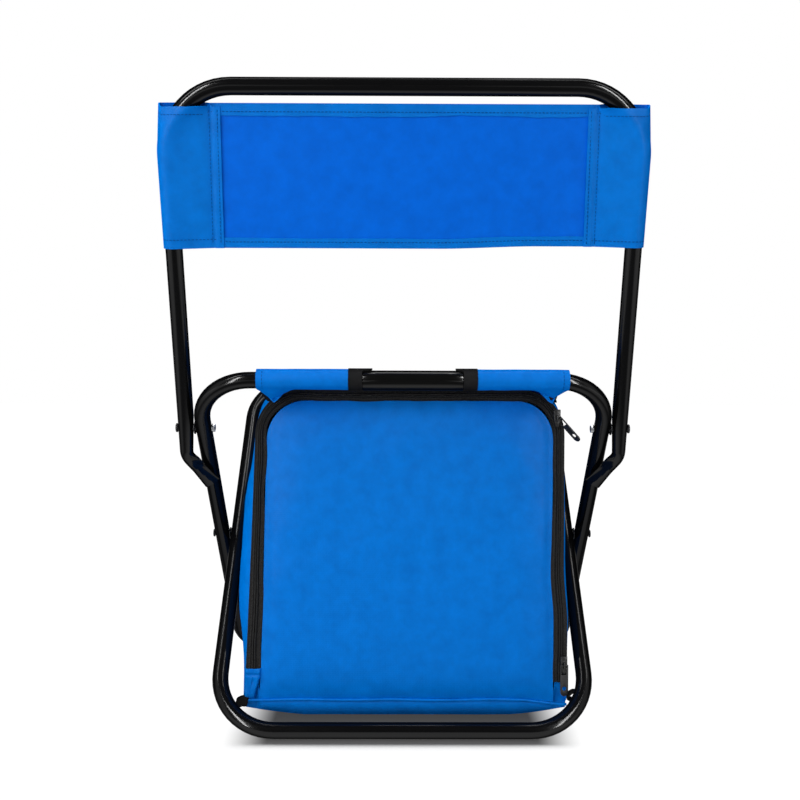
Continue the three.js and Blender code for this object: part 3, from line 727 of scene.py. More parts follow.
def band_line(height):
    wrap = sleeve_section(height, wrap_points)
    left = [Vector((-p.x, p.y, 0)) for p in wrap]
    right = list(reversed(wrap))
    hem_end = outer_stitch - hem_gap
    hem = [Vector((mix(sleeve_fold, hem_end, i / hem_points), hem_y, 0)) for i in range(hem_points)]
    start = [Vector((-p.x, p.y, 0)) for p in hem]
    reach = outer_stitch - panel_gap
    panel = [Vector((mix(-reach, reach, i / (panel_points - 1)), panel_y, 0)) for i in range(panel_points)]
    return start + left + panel + right + list(reversed(hem))


band_columns = 2 * hem_points + 2 * wrap_points + panel_points - 1
band_heights = [mix(band_bottom, band_top, i / band_rows) for i in range(band_rows + 1)]
band_lines = [band_line(height) for height in band_heights]


slip_depth = 3 * MM
slip_depths = (1 * MM, 4 * MM)
slip_span = (168 * MM, 182 * MM)
seam_draw = 2.7 * MM
draw_rise = (110 * MM, 150 * MM)
draw_fall = (168 * MM, 184 * MM)
droop_depth = 2.4 * MM
droop_span = (30 * MM, 120 * MM)
ripple_depth = 0.7 * MM
ripple_half = 120 * MM
pucker_depth = 0.5 * MM
pucker_reach = 14 * MM


def near_dip(x, y, v):
    """How far the layer in front has slipped down at the top of the sleeve."""
    near = smooth(-y, 0, mix(*slip_depths, smooth(abs(x), *slip_span)))
    return slip_depth * near * smooth(v, 0.8, 1)


def seam_lean(x, v):
    """How far the sewn line has been drawn in towards the top."""
    near_line = smooth(abs(x), *draw_rise) * (1 - smooth(abs(x), *draw_fall))
    return math.copysign(seam_draw * v * near_line, x)


def band_droop(x):
    """How far the band's bottom edge hangs: its left part is slack."""
    return -droop_depth * (1 - smooth(x, *droop_span))


def band_ripple(x, height):
    """Shallow waves in the free part of the band, which end at its sleeves."""
    wave = noise.noise(Vector((x / 0.07, height / 0.05, 3.1)))
    return ripple_depth * wave * (1 - smooth(abs(x), ripple_half, outer_stitch))


def band_place(u, v):
    row = round(v * band_rows)
    point = band_lines[row][round(u * band_columns)]
    height = band_heights[row]
    x, y = point.x, point.y
    pucker = noise.noise(Vector((x / 0.012, height / 0.035, 7.7)))
    near_seam = math.exp(-((abs(x) - sleeve_fold) / pucker_reach) ** 2)
    y += band_ripple(x, height) + pucker_depth * pucker * near_seam
    droop = band_droop(x) * smooth(1 - v, 0.6, 1)
    return in_backrest(x - seam_lean(x, v), y, height + droop - near_dip(x, y, v))


band_length = sum((b - a).length for a, b in zip(band_lines[0], band_lines[0][1:]))
band_cut = (band_length, band_top - band_bottom)
band = cloth("backrest_band_cloth", band_columns, band_rows, band_place, band_cut, 2 * cloth_half)
dress(band, blue_coated_polyester, "coated_cloth", "backrest", ["backrest_band"])
band.data.materials.append(blue_woven_polyester)
# The woven face shows on the sleeves, and only on their rear side next to the sewn lines.
woven_before_fold = 3 * MM
woven_on_sleeve = 0.2 * MM
woven_by_seam = -1.2 * MM
for face in band.data.polygons:
    spot = face.center - back_pivot
    beyond = abs(spot.dot(across)) - sleeve_fold
    woven_depth = woven_on_sleeve if beyond > 0 else woven_by_seam
    if beyond > -woven_before_fold and spot.dot(back_out) < woven_depth:
        face.material_index = 1


hem_depth = 10 * MM
hem_inset = 0.4 * MM
hem_out = 0.65 * MM
hem_thickness = 0.7 * MM
hem_overlap = 2 * MM


def hem_strip(name, low, high, wave_low, wave_high, droop_share):
    """The turned and sewn edge of the band. Its two long sides wave a little, each by its own share."""
    def place(u, v):
        x = mix(-sleeve_fold - hem_overlap, sleeve_fold + hem_overlap, u)
        sag = noise.noise(Vector((x / 0.04, low * 20, 1.3)))
        sag += 0.4 * noise.noise(Vector((x / 0.012, low * 20, 4.3)))
        height = mix(low + sag * wave_low, high + sag * wave_high, v) + droop_share * band_droop(x)
        return in_backrest(x, band_ripple(x, height) - hem_out, height)
    return cloth(name, 120, 4, place, (2 * sleeve_fold, high - low), hem_thickness)


top_hem = hem_strip(
    "band_top_hem", band_top - hem_depth, band_top - hem_inset, wave_low=1.5 * MM, wave_high=0, droop_share=0)
bottom_hem = hem_strip(
    "band_bottom_hem", band_bottom + hem_inset, band_bottom + hem_depth * 0.9, wave_low=0,
    wave_high=0.6 * MM, droop_share=1)
for hem in (top_hem, bottom_hem):
    dress(hem, blue_woven_polyester, "blue_cloth", "backrest")


def stitches(name, points, facing, pitch, material, body, length_share=0.7, width=0.55 * MM):
    """A row of lockstitches along a line of points, each a short bead of thread."""
    line = resample(points, max(2, round(sum((b - a).length for a, b in zip(points, points[1:])) / pitch)))
    verts, faces = [], []
    for a, b in zip(line, line[1:]):
        way = (b - a).normalized()
        up = Vector(facing)
        side = way.cross(up).normalized()
        mid = (a + b) / 2
        half = (b - a).length * length_share / 2
        base = len(verts)
        for t, k in ((-1, 0.35), (-0.55, 1), (0.55, 1), (1, 0.35)):
            for c, s in ((-1, 0), (0, 1), (1, 0), (0, -1)):
                verts.append(mid + t * half * way + k * width / 2 * (c * side + s * up))
        for i in range(3):
            for j in range(4):
                p = base + 4 * i + j
                q = base + 4 * i + (j + 1) % 4
                faces.append((p, q, q + 4, p + 4))
        faces.append((base, base + 3, base + 2, base + 1))
        faces.append((base + 12, base + 13, base + 14, base + 15))
    mesh = bpy.data.meshes.new(name)
    mesh.from_pydata(verts, [], faces)
    mesh.uv_layers.new(name="flat")
    piece = bpy.data.objects.new(name, mesh)
    bpy.context.scene.collection.objects.link(piece)
    finish_mesh(piece, 80)
    return dress(piece, material, "blue_cloth", body)


stitch_pitch = 3.2 * MM
stitch_steps = 20
row_steps = 60
column_y = -2.25 * MM
row_y = -1.2 * MM
row_out = 1.5 * MM
column_low = band_bottom + 2 * MM
column_high = band_top - 5 * MM
for side, hand in ((-1, "left"), (1, "right")):
    for label, x in (("inner", inner_stitch), ("outer", outer_stitch)):
        column = []
        for i in range(stitch_steps + 1):
            v = i / stitch_steps
            height = mix(column_low, column_high, v)
            column.append(in_backrest(side * x - seam_lean(side * x, v), column_y, height))
        stitches(
            f"sleeve_stitches_{label}_{hand}", column, -back_out, stitch_pitch, blue_thread, "backrest")
for label, height, droop_share in (("top", band_top - 7 * MM, 0), ("bottom", band_bottom + 5.5 * MM, 1)):
    around = [p for p in sleeve_section(height, wrap_points) if p.y < 0]
    v = (height - band_bottom) / (band_top - band_bottom)
    row = [in_backrest(-p.x, p.y - row_out, height - near_dip(p.x, p.y, v)) for p in reversed(around)]
    for i in range(1, row_steps):
        x = mix(-sleeve_fold, sleeve_fold, i / row_steps)
        row.append(in_backrest(x, band_ripple(x, height) + row_y, height + droop_share * band_droop(x)))
    row += [in_backrest(p.x, p.y - row_out, height - near_dip(p.x, p.y, v)) for p in around]
    stitches(
        f"hem_stitches_{label}", row, -back_out, stitch_pitch, blue_thread, "backrest")


# The seat: blue woven polyester sewn into a sleeve on each rail, with a bound cut-out for the hand.
# Between the rails it lies on the bag's rounded top and hangs a little below the rails. Its panel is
# drawn as a rear and a front half that meet over the bag.
seat_middle = 8.5 * MM
seat_half = 140 * MM
rail_reach = rail_spread / 2
rail_height = foot_height + rail_rise
rear_rail = cross.y - rail_reach
front_rail = cross.y + rail_reach
sleeve_mid = 8.85 * MM
sleeve_lift = 1 * MM
grip_half = 45.3 * MM
binding_width = 12.5 * MM
front_half = 112 * MM
bag_low, bag_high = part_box("cooler_shell")
bag_half = 146 * MM
bag_corner = 42 * MM
flap_start = 108 * MM
flap_rise = 20 * MM
flap_fall = 12 * MM
sleeve_column = 3 * MM


def rail_sleeve(name, left, right, rail_y, body, node, make, flap_reach=0, tip=0):
    """A tube of cloth round a rail. It hangs a little slack, and its lower lip is drawn towards the seat."""
    mid_radius, thickness, slant, wave, material, slot = make
    toward = 1 if rail_y < cross.y else -1
    columns = max(4, round((right - left) / sleeve_column))

    def place(u, v):
        x = mix(left, right, u)
        angle = 2 * math.pi * v
        y, z = math.sin(angle), -math.cos(angle)
        slack = wave * noise.noise(Vector((x / 0.02, angle * 0.8, rail_y * 9)))
        radius = mid_radius + slack * mix(0.4, 1, (1 - z) / 2)
        side = abs(x - seat_middle)
        flap = flap_reach * max(0, min((side - flap_start) / flap_rise, (seat_half - side) / flap_fall))
        lower = smooth(-z, 0.2, 1.0) * smooth(toward * y, -0.5, 0.6)
        spot = Vector((x, rail_y + radius * y, rail_height + sleeve_lift + radius * z))
        spot.x -= tip * smooth(z, 0.75, 1) * smooth(u if tip < 0 else 1 - u, 0.3, 1)
        return spot + (slant + flap) * lower * Vector((0, toward * 0.6, -0.8))

    piece = cloth(name, columns, 40, place, (right - left, 2 * math.pi * mid_radius), thickness, loop=True)
    return dress(piece, material, slot, body, [node])


# Woven polyester binding: near black, coarse and quite dull.
black_binding = fabric("black_woven_binding", "#1e1e1f", "#161617", 0.9, 0.14, 0.75, 0.4, 0.2)
seat_left = seat_middle - seat_half
seat_right = seat_middle + seat_half
hold_left = seat_middle - grip_half
hold_right = seat_middle + grip_half
blue_sleeve = (sleeve_mid, 0.8 * MM, 0.4 * MM, 0.5 * MM, blue_woven_polyester, "blue_cloth")
black_loop = (sleeve_mid + 0.4 * MM, 1.4 * MM, 0.2 * MM, 0.25 * MM, black_binding, "black_webbing")
sleeve_left = rail_sleeve(
    "seat_sleeve_left", seat_left, hold_left - binding_width, rear_rail, "outer_frame", "rear_sleeve_left",
    blue_sleeve, flap_reach=14 * MM)
sleeve_right = rail_sleeve(
    "seat_sleeve_right", hold_right + binding_width, seat_right, rear_rail, "outer_frame",
    "rear_sleeve_right", blue_sleeve, flap_reach=11 * MM)
sleeve_front = rail_sleeve(
    "seat_sleeve_front", seat_middle - front_half, seat_middle + front_half, front_rail, "inner_frame",
    "front_sleeve", blue_sleeve)
rail_sleeve(
    "hold_binding_left", hold_left - binding_width, hold_left, rear_rail, "outer_frame", "grip_binding_left",
    black_loop, tip=-9 * MM)
rail_sleeve(
    "hold_binding_right", hold_right, hold_right + binding_width, rear_rail, "outer_frame",
    "grip_binding_right", black_loop, tip=7 * MM)

sleeve_reach = 9.5 * MM
seat_rear = rear_rail + sleeve_reach
seat_front = front_rail - sleeve_reach
hold_depth = 18 * MM
notch_half = grip_half + 6 * MM
hold_corner = 5 * MM
seat_thickness = 1.2 * MM
crown_clear = 1.1 * MM
rim_drop = 5 * MM
rim_droop = 17 * MM
seat_wave = 0.6 * MM
waist_pull = 6 * MM
edge_width = 9 * MM
edge_half_height = 1.5 * MM
waist_start = bag_low.y - 8 * MM
waist_end = bag_low.y + 30 * MM
rear_rise_end = bag_low.y + 14 * MM
front_rise_start = bag_high.y - 6 * MM
droop_side = (108 * MM, 131 * MM)
late_side = (126 * MM, 134 * MM)
reach_lost_left = 1.5 * MM
reach_lost_right = 7 * MM
reach_lost_on_bag = 4.5 * MM
edge_widening = (bag_low.y - 12 * MM, bag_low.y + 20 * MM)


def seat_height(x, y):
    """The seat rests on the bag's rounded top, and rises to the two rails."""
    side = abs(x - seat_middle)
    over = min(max(0, side - (bag_half - bag_corner)), bag_corner * 0.98)
    crown = bag_high.z + crown_clear - (bag_corner - math.sqrt(bag_corner ** 2 - over ** 2)) * 0.8
    rim = rail_height - rim_drop
    if y < cross.y:
        late = mix(1, smooth(y, seat_rear, waist_start), smooth(side, *late_side))
        rim -= rim_droop * smooth(side, *droop_side) * late
    rise = max(1 - smooth(y, seat_rear, rear_rise_end), smooth(y, front_rise_start, seat_front))
    wave = seat_wave * noise.noise(Vector((x / 0.05, y / 0.06, 2.2)))
    return mix(crown, rim, rise) + wave * (1 - rise)


def seat_reach(y, hand):
    """How far the seat's sides are from its middle: they are pulled in behind the rear rail."""
    start = reach_lost_left if hand < 0 else reach_lost_right
    behind_rail = smooth(y, seat_rear, waist_start) * (1 - smooth(y, bag_low.y, waist_end))
    inset = mix(start, reach_lost_on_bag, smooth(y, seat_rear, bag_low.y))
    return seat_half - inset - waist_pull * behind_rail


def seat_half_panel(name, low, high):
    def place(u, v):
        y = mix(low, high, v)
        x = seat_middle + mix(-seat_reach(y, -1), seat_reach(y, 1), u) * 0.98
        return Vector((x, y, seat_height(x, y)))
    return cloth(name, 80, 40, place, (2 * seat_half, high - low), 0)


def cut_notch(piece, half, depth):
    """Takes the hand hold's cut-out from the seat's rear edge, square to the rail."""
    for plane in (seat_middle - half, seat_middle + half):
        in_edit(piece)
        bpy.ops.mesh.bisect(plane_co=(plane, 0, 0), plane_no=(1, 0, 0))
        out_of_edit()
    in_edit(piece)
    bpy.ops.mesh.bisect(plane_co=(0, seat_rear + depth, 0), plane_no=(0, 1, 0))
    bpy.ops.mesh.select_all(action="DESELECT")
    out_of_edit()
    for face in piece.data.polygons:
        c = face.center
        face.select = abs(c.x - seat_middle) < half and c.y < seat_rear + depth
    bpy.ops.object.mode_set(mode="EDIT")
    bpy.ops.mesh.select_mode(type="FACE")
    bpy.ops.mesh.delete(type="FACE")
    bpy.ops.mesh.select_mode(type="VERT")
    out_of_edit()


def hang_between(piece):
    """Bakes the piece's place into its mesh."""
    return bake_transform(piece)


seat = seat_half_panel("seat_panel_rear", seat_rear, cross.y)
cut_notch(seat, notch_half, hold_depth)
seat_ahead = seat_half_panel("seat_panel_front", cross.y, seat_front)
for piece in (seat, seat_ahead):
    cloth_wall(piece, seat_thickness)
dress(seat, blue_woven_polyester, "blue_cloth", None, ["seat_cloth"])
dress(seat_ahead, blue_woven_polyester, "blue_cloth", None)
hang_between(seat)
hang_between(seat_ahead)


def seat_binding(name, hand, low, high, nodes):
    """A folded strip over the seat's side edge, with closed ends."""
    def place(u, v):
        y = mix(low, high, v)
        turn = 2 * math.pi * u
        half = edge_width / 2 * mix(0.55, 1, smooth(y, *edge_widening))
        px = seat_middle + hand * seat_reach(y, hand) - math.cos(turn) * half
        return Vector((px, y, seat_height(px, y) + math.sin(turn) * edge_half_height))
    piece = cloth(name, 16, 36, place, (2 * edge_width, high - low), 0, loop=True)
    close_ends(piece)
    finish_mesh(piece, cloth_smoothing)
    return dress(piece, black_binding, "black_webbing", None, nodes)


for hand, side in ((-1, "left"), (1, "right")):
    edge = seat_binding(f"seat_edge_binding_{side}", hand, seat_rear, cross.y, [f"seat_edge_{side}"])
    hang_between(edge)
    edge = seat_binding(f"seat_edge_binding_front_{side}", hand, cross.y, seat_front, [])
    hang_between(edge)

hold_steps = 80
hold_half_width = 5.5 * MM
hold_half_height = 1.7 * MM
hold_lift = 0.3 * MM


def hold_line():
    """The edge of the hand hold's cut-out: in from the rail, round a corner, across, and back out."""
    y_in = seat_rear + hold_depth
    left = seat_middle - notch_half
    line = [Vector((left, mix(seat_rear, y_in - hold_corner, i / 4), 0)) for i in range(5)]
    for i in range(1, 7):
        a = math.pi / 2 * i / 6
        x = left + hold_corner * (1 - math.cos(a))
        line.append(Vector((x, y_in - hold_corner * (1 - math.sin(a)), 0)))
    mirror = [Vector((2 * seat_middle - p.x, p.y, 0)) for p in reversed(line)]
    reach = notch_half - hold_corner
    for i in range(1, 20):
        line.append(Vector((mix(seat_middle - reach, seat_middle + reach, i / 20), y_in, 0)))
    return resample(line + mirror, hold_steps + 1)


hold_points = hold_line()


def hold_binding_place(u, v):
    i = round(v * hold_steps)
    way = (hold_points[min(i + 1, hold_steps)] - hold_points[max(i - 1, 0)]).normalized()
    side = Vector((-way.y, way.x, 0))
    angle = 2 * math.pi * u
    place = hold_points[i] + side * math.cos(angle) * hold_half_width
    rise = hold_half_height * math.sin(angle) + hold_lift
    return Vector((place.x, place.y, seat_height(place.x, place.y) + rise))


hold_cut = (22 * MM, 130 * MM)
hold_binding = cloth("hand_hold_edge_binding", 16, hold_steps, hold_binding_place, hold_cut, 0, loop=True)
close_ends(hold_binding)
finish_mesh(hold_binding, cloth_smoothing)
dress(hold_binding, black_binding, "black_webbing", None, ["hand_hold_binding"])
hang_between(hold_binding)

seat_stitches = []
end_stitch_inset = 5.5 * MM
end_stitch_radius = sleeve_mid + 0.7 * MM
for label, x in (("left", seat_left + end_stitch_inset), ("right", seat_right - end_stitch_inset)):
    arc = []
    for i in range(13):
        angle = mix(-2.1, 0.9, i / 12)
        y = rear_rail - end_stitch_radius * math.cos(angle)
        arc.append(Vector((x, y, rail_height + sleeve_lift + end_stitch_radius * math.sin(angle))))
    seat_stitches.append(stitches(
        f"sleeve_end_stitches_{label}", arc, (0, -1, 0), stitch_pitch, blue_thread, "outer_frame"))
rear_sleeve_cut = 0.0819
front_sleeve_cut = 0.224
for piece, width, rows in (
        (sleeve_left, rear_sleeve_cut, seat_stitches[:1]), (sleeve_right, rear_sleeve_cut, seat_stitches[1:]),
        (sleeve_front, front_sleeve_cut, [])):
    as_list(rows)


# The hand grip: a sleeve of glossy black plastic pushed over the rear seat rail.
# Its ends are slightly rounded and lie under the black bindings.
# Moulded plastic: black like the frames' coat, a little shinier and with wider, softer waves.
grip_plastic = painted_steel("gloss_black_plastic", "#0a0a0a", 0.12, 4.0)
grip_sides = 40
grip_pieces = 6
grip_inner = tube_radius + 0.3 * MM
grip_rim = 8.8 * MM
grip_outer = 9.05 * MM
rim_step = 0.5 * MM
grip_ends = 1.6 * MM
grip_axis = Vector((0, rear_rail, rail_height))
grip_start = Vector((hold_left + 0.3 * MM, rear_rail, rail_height))
grip = tube_start("rail_grip", grip_start, across, grip_inner, grip_sides)
for step, pieces, before, after in (
        (0, 1, grip_inner, grip_rim), (rim_step, 1, grip_rim, grip_outer),
        (2 * grip_half - grip_ends, grip_pieces, grip_outer, grip_outer),
        (rim_step, 1, grip_outer, grip_rim), (0, 1, grip_rim, grip_inner)):
    tube_straight(step * across, pieces)
    spread = after / before
    bpy.ops.transform.resize(value=(1, spread, spread), center_override=grip_axis)
bpy.ops.mesh.select_all(action="DESELECT")
bpy.ops.mesh.select_non_manifold()
bpy.ops.mesh.bridge_edge_loops()
out_of_edit()
finish_mesh(grip, 50)
dress(grip, grip_plastic, "black_plastic", "outer_frame", ["hand_grip"])


# The cooler bag: an outer shell of woven polyester, a foam sheet and a foil lining, sewn together as
# one wall. It hangs from the seat, its left side bulges and leans out, and its bottom sags in the middle.
bag_front_y = bag_high.y
bag_rear_y = bag_low.y
bag_top = bag_high.z - 2.4 * MM
shell_corner = 30 * MM
foot_corner = 9 * MM
lean_left = 8.8 * MM
lean_top = 290 * MM
lean_height = 230 * MM
lean_right = 3.5 * MM
lean_right_span = (95 * MM, 150 * MM)
corner_rise = 7 * MM
rise_start = 92 * MM
rise_run = 54 * MM
bottom_blend = 30 * MM
least_round = 2 * MM
tuck_top = 26 * MM
side_span = (bag_half - 30 * MM, bag_half - 8 * MM)
belly_start = (40 * MM, 120 * MM)
belly_end = (215 * MM, 305 * MM)
cap_inset = 1 * MM
inner_start = 12 * MM
shell_tuck = 9 * MM
cap_depth = 4 * MM


def bag_lean(x, z):
    """How far a point of the rear face has moved sideways: the left leans out, the right is drawn in."""
    left = lean_left * max(0, (lean_top - z) / lean_height) ** 1.15
    right = lean_right * smooth(z, *lean_right_span)
    return -left * max(0, -x / bag_half) - right * max(0, x / bag_half)


def bottom_rise(x):
    """The bag's bottom edge is straight in the middle and rises to the two corners."""
    return corner_rise * max(0, (abs(x) - rise_start) / rise_run) ** 1.3


def outline_point(share, inset, top_round, foot_round, bottom):
    """A point of the bag's section, from the middle of the bottom, up the left side, over, and back."""
    half = bag_half - inset
    top = bag_high.z - inset
    r = max(top_round - inset, least_round)
    f = max(foot_round - inset, least_round)
    rise = top - bottom - f - r
    centres = [
        (-(half - f), bottom + f), (-(half - r), top - r), (half - r, top - r), (half - f, bottom + f)]
    starts = [-math.pi / 2, math.pi, math.pi / 2, 0]
    runs = [half - f, rise, 2 * (half - r), rise, half - f]
    radii = [f, r, r, f]
    ways = [(-1, 0), (0, 1), (1, 0), (0, -1), (-1, 0)]
    spot = (0, bottom)
    s = share * (sum(runs) + sum(radii) * math.pi / 2)
    for k, run in enumerate(runs):
        if s <= run or k == len(radii):
            break
        s -= run
        bend = radii[k] * math.pi / 2
        turn = starts[k] - min(s, bend) / radii[k]
        spot = (centres[k][0] + radii[k] * math.cos(turn), centres[k][1] + radii[k] * math.sin(turn))
        if s <= bend:
            return spot
        s -= bend
    return spot[0] + ways[k][0] * s, spot[1] + ways[k][1] * s


def bag_bucket(name, node, material, slot, inset, thickness, bulge, crinkle):
    """One layer of the bag's wall, from its open rear to its closed front."""
    columns, rows = 200, 64
    wall_rows = 40
    bottom = bag_low.z + inset + thickness / 2
    outer = inset == 0
    inset += thickness / 2
    rear = bag_rear_y + (thickness / 2 if outer else inner_start)
    front = bag_front_y - inset

    def place(u, v):
        row = round(v * rows)
        depth = min(row / wall_rows, 1)
        corner = mix(bag_corner, shell_corner, smooth(depth, 0, 0.2))
        x, z = outline_point(u, inset, corner, foot_corner, bottom)
        height = (z - bag_low.z) / (bag_high.z - bag_low.z)
        z -= (bag_high.z - bag_top) * height * (1 - smooth(depth, 0, 0.15))
        z += bottom_rise(x) * (1 - smooth(z, bottom, bottom + bottom_blend))
        tucked = shell_tuck * (1 - smooth(z, bottom, tuck_top)) if outer else 0
        y = mix(rear + tucked, front, depth)
        swell = math.sin(math.pi * depth ** 0.6)
        belly = math.exp(-((height - 0.36) / 0.6) ** 2)
        side = smooth(abs(x), *side_span)
        left = 1.0 if x < 0 else 0.35
        belly *= mix(0.5, 1, smooth(z, *belly_start)) * (1 - smooth(z, *belly_end))
        x += math.copysign(bulge * swell * belly * side * left, x) + bag_lean(x, z) * (1 - 0.6 * depth)
        wrinkle = noise.noise(Vector((x / 0.045, y / 0.03, z / 0.05)))
        wrinkle += 0.5 * noise.noise(Vector((x / 0.018, y / 0.015, z / 0.02)))
        if row > wall_rows:
            cap = (row - wall_rows) / (rows - wall_rows)
            centre_z = (bag_high.z + bag_low.z) / 2
            shrink = 1 - cap
            x *= shrink
            z = centre_z + (z - centre_z) * shrink
            y = front - cap_inset + cap_depth * (1 - shrink ** 4) * (1 if outer else 0.4)
            y += crinkle * wrinkle * smooth(cap, 0, 0.2) * (1 - smooth(cap, 0.55, 0.9))
            return Vector((seat_middle + x, y, z))
        edge = smooth(depth, 0, 0.15) * smooth(1 - depth, 0, 0.15)
        out = Vector((x / bag_half, 0, 0.4 * (z - 0.16) / 0.15))
        return Vector((seat_middle + x, y, z)) + out * crinkle * wrinkle * edge

    piece = cloth(name, columns, rows, place, (1.2, 0.35), thickness, loop=True)
    in_edit(piece)
    bpy.ops.uv.cube_project(cube_size=1.0)
    out_of_edit()
    dress(piece, material, slot, "cooler_seat", [node])
    return piece


# Foam sheet: white, closed at the skin and quite matt.
white_foam = fabric("white_foam_sheet", "#e9e9e4", "#dcdcd6", 2.0, 0.1, 0.9, 0.3, 0.0)
# Foil laminated to film: a bright metal skin, creased everywhere where the bag has been folded.
foil_lining = metal("crinkled_foil", "#cfd2d6", 0.9, 0.28, 9.0)
shell = bag_bucket(
    "bag_shell", "cooler_shell", blue_woven_polyester, "blue_cloth",
    inset=0, thickness=1.2 * MM, bulge=17 * MM, crinkle=1.3 * MM)
foam = bag_bucket(
    "bag_foam", "cooler_foam", white_foam, "white_foam",
    inset=1.8 * MM, thickness=3.4 * MM, bulge=15 * MM, crinkle=0.6 * MM)
lining = bag_bucket(
    "bag_lining", "cooler_lining", foil_lining, "silver_foil",
    inset=5.8 * MM, thickness=0.6 * MM, bulge=14 * MM, crinkle=1.1 * MM)

# The lip under the door: the strip of shell between the hinge seam and the bag's bottom.
# It is the same cloth, turned in at the seam and rolling under to the bottom.
seam_z = 24.6 * MM
lip_top = seam_z - 1.2 * MM
lip_roll = 7.5 * MM
lip_swell = 1.8 * MM
lip_corner_in = 2.2 * MM
corner_top = 48 * MM
corner_span = (bag_half - 14 * MM, bag_half - 11 * MM)
fall_left = 1 * MM
fall_right = 4 * MM
fall_start = 100 * MM
seam_half = bag_half - 0.5 * MM
lip_foot = bag_low.z - 1.6 * MM
least_lip = 3 * MM
lip_out = 0.8 * MM
lip_wave = 0.7 * MM
lip_thickness = 1.2 * MM
lip_turn = (lip_top - 2 * MM, lip_top + 4 * MM)


def seam_fall(x):
    """The hinge seam drops towards the two corners, more at the right one."""
    return (fall_right if x > 0 else fall_left) * smooth(abs(x), fall_start, bag_half)


def lip_place(u, v):
    x = mix(-seam_half, seam_half, u)
    bottom = lip_foot + bottom_rise(x)
    corner = smooth(abs(x), *corner_span)
    top = max(lip_top - seam_fall(x), bottom + least_lip)
    z = mix(bottom, mix(top, corner_top, corner), v)
    under = lip_roll * (1 - v) ** 1.8 - lip_swell * math.sin(math.pi * v) * (1 - (x / bag_half) ** 8)
    y = bag_rear_y - lip_out + under + lip_wave * noise.noise(Vector((x / 0.03, z / 0.02, 4.4)))
    y += lip_corner_in * corner * smooth(z, *lip_turn)
    return Vector((seat_middle + x + bag_lean(x, z), y, z))


lip = cloth("bag_lip", 120, 18, lip_place, (2 * bag_half, 18 * MM), lip_thickness)
dress(lip, blue_woven_polyester, "blue_cloth", "cooler_seat")


# The door: the bag's rear panel, cloth over foam with a foil lining, closed by the zip round three
# sides. It is softly padded, so that its face swells and its edges turn in to the tape.
spread_shares = (1.25, 1.06)
spread_span = (80 * MM, 240 * MM)


def tape_share(z):
    """How wide the zip lies: its tapes spread towards the bottom, where the bag pulls on them."""
    return mix(*spread_shares, smooth(z, *spread_span))


def door_width(z, inset):
    """Half the door's width at a height, narrower in its round top corners."""
    inset *= tape_share(z)
    half = bag_half - inset
    top = bag_top - inset
    r = bag_corner - inset * 0.6
    over = min(max(0, z - (top - r)), r)
    return half - (r - math.sqrt(r * r - over * over))


easing = 1.6
turn_in = 9 * MM
door_foot = 1 * MM
door_gap = 0.05 * MM
smooth_foot = 12 * MM


def door_layer(name, node, material, slot, inset, out, swell, thickness, crinkle):
    """One layer of the door. Its rows are closer at the top, where the corners are round."""
    low = seam_z + door_foot
    high = bag_top - inset * tape_share(bag_top) - door_gap

    def place(u, v):
        t = 1 - (1 - v) ** easing if v > 0.5 else 2 * v * (1 - 0.5 ** easing)
        width = door_width(mix(low, high, t), inset)
        x = mix(-1, 1, u) * width
        z = mix(low - seam_fall(x), high, t)
        half = bag_half - inset
        a = 1 - abs(x / half) ** 7
        b = 1 - abs((z - (low + high) / 2) / ((high - low) / 2)) ** 9
        edge = smooth(max(0, width - abs(x)), 0, turn_in)
        face = swell * min(a, 1) * max(min(b, 1), 0) * edge
        wrinkle = noise.noise(Vector((x / 0.05, 6.1, z / 0.06)))
        wrinkle += 0.45 * noise.noise(Vector((x / 0.02, 1.1, z / 0.024)))
        y = bag_rear_y - out - face + crinkle * wrinkle * edge * smooth(z, low, low + smooth_foot)
        return Vector((seat_middle + x + bag_lean(x, z), y, z))

    piece = cloth(name, 96, 96, place, (2 * (bag_half - inset), high - low), thickness)
    return dress(piece, material, slot, "cooler_door", [node])


cloth_inset = 10.5 * MM
layer_inset = 10.8 * MM
door_face = door_layer(
    "door_face", "door_cloth", blue_woven_polyester, "blue_cloth",
    inset=cloth_inset, out=0.9 * MM, swell=6.5 * MM, thickness=1.2 * MM, crinkle=0.9 * MM)
door_layer(
    "door_pad", "door_foam", white_foam, "white_foam",
    inset=layer_inset, out=-1.6 * MM, swell=4 * MM, thickness=3 * MM, crinkle=0.3 * MM)
door_layer(
    "door_foil", "door_lining", foil_lining, "silver_foil",
    inset=layer_inset, out=-5 * MM, swell=-0.4 * MM, thickness=0.6 * MM, crinkle=0.5 * MM)


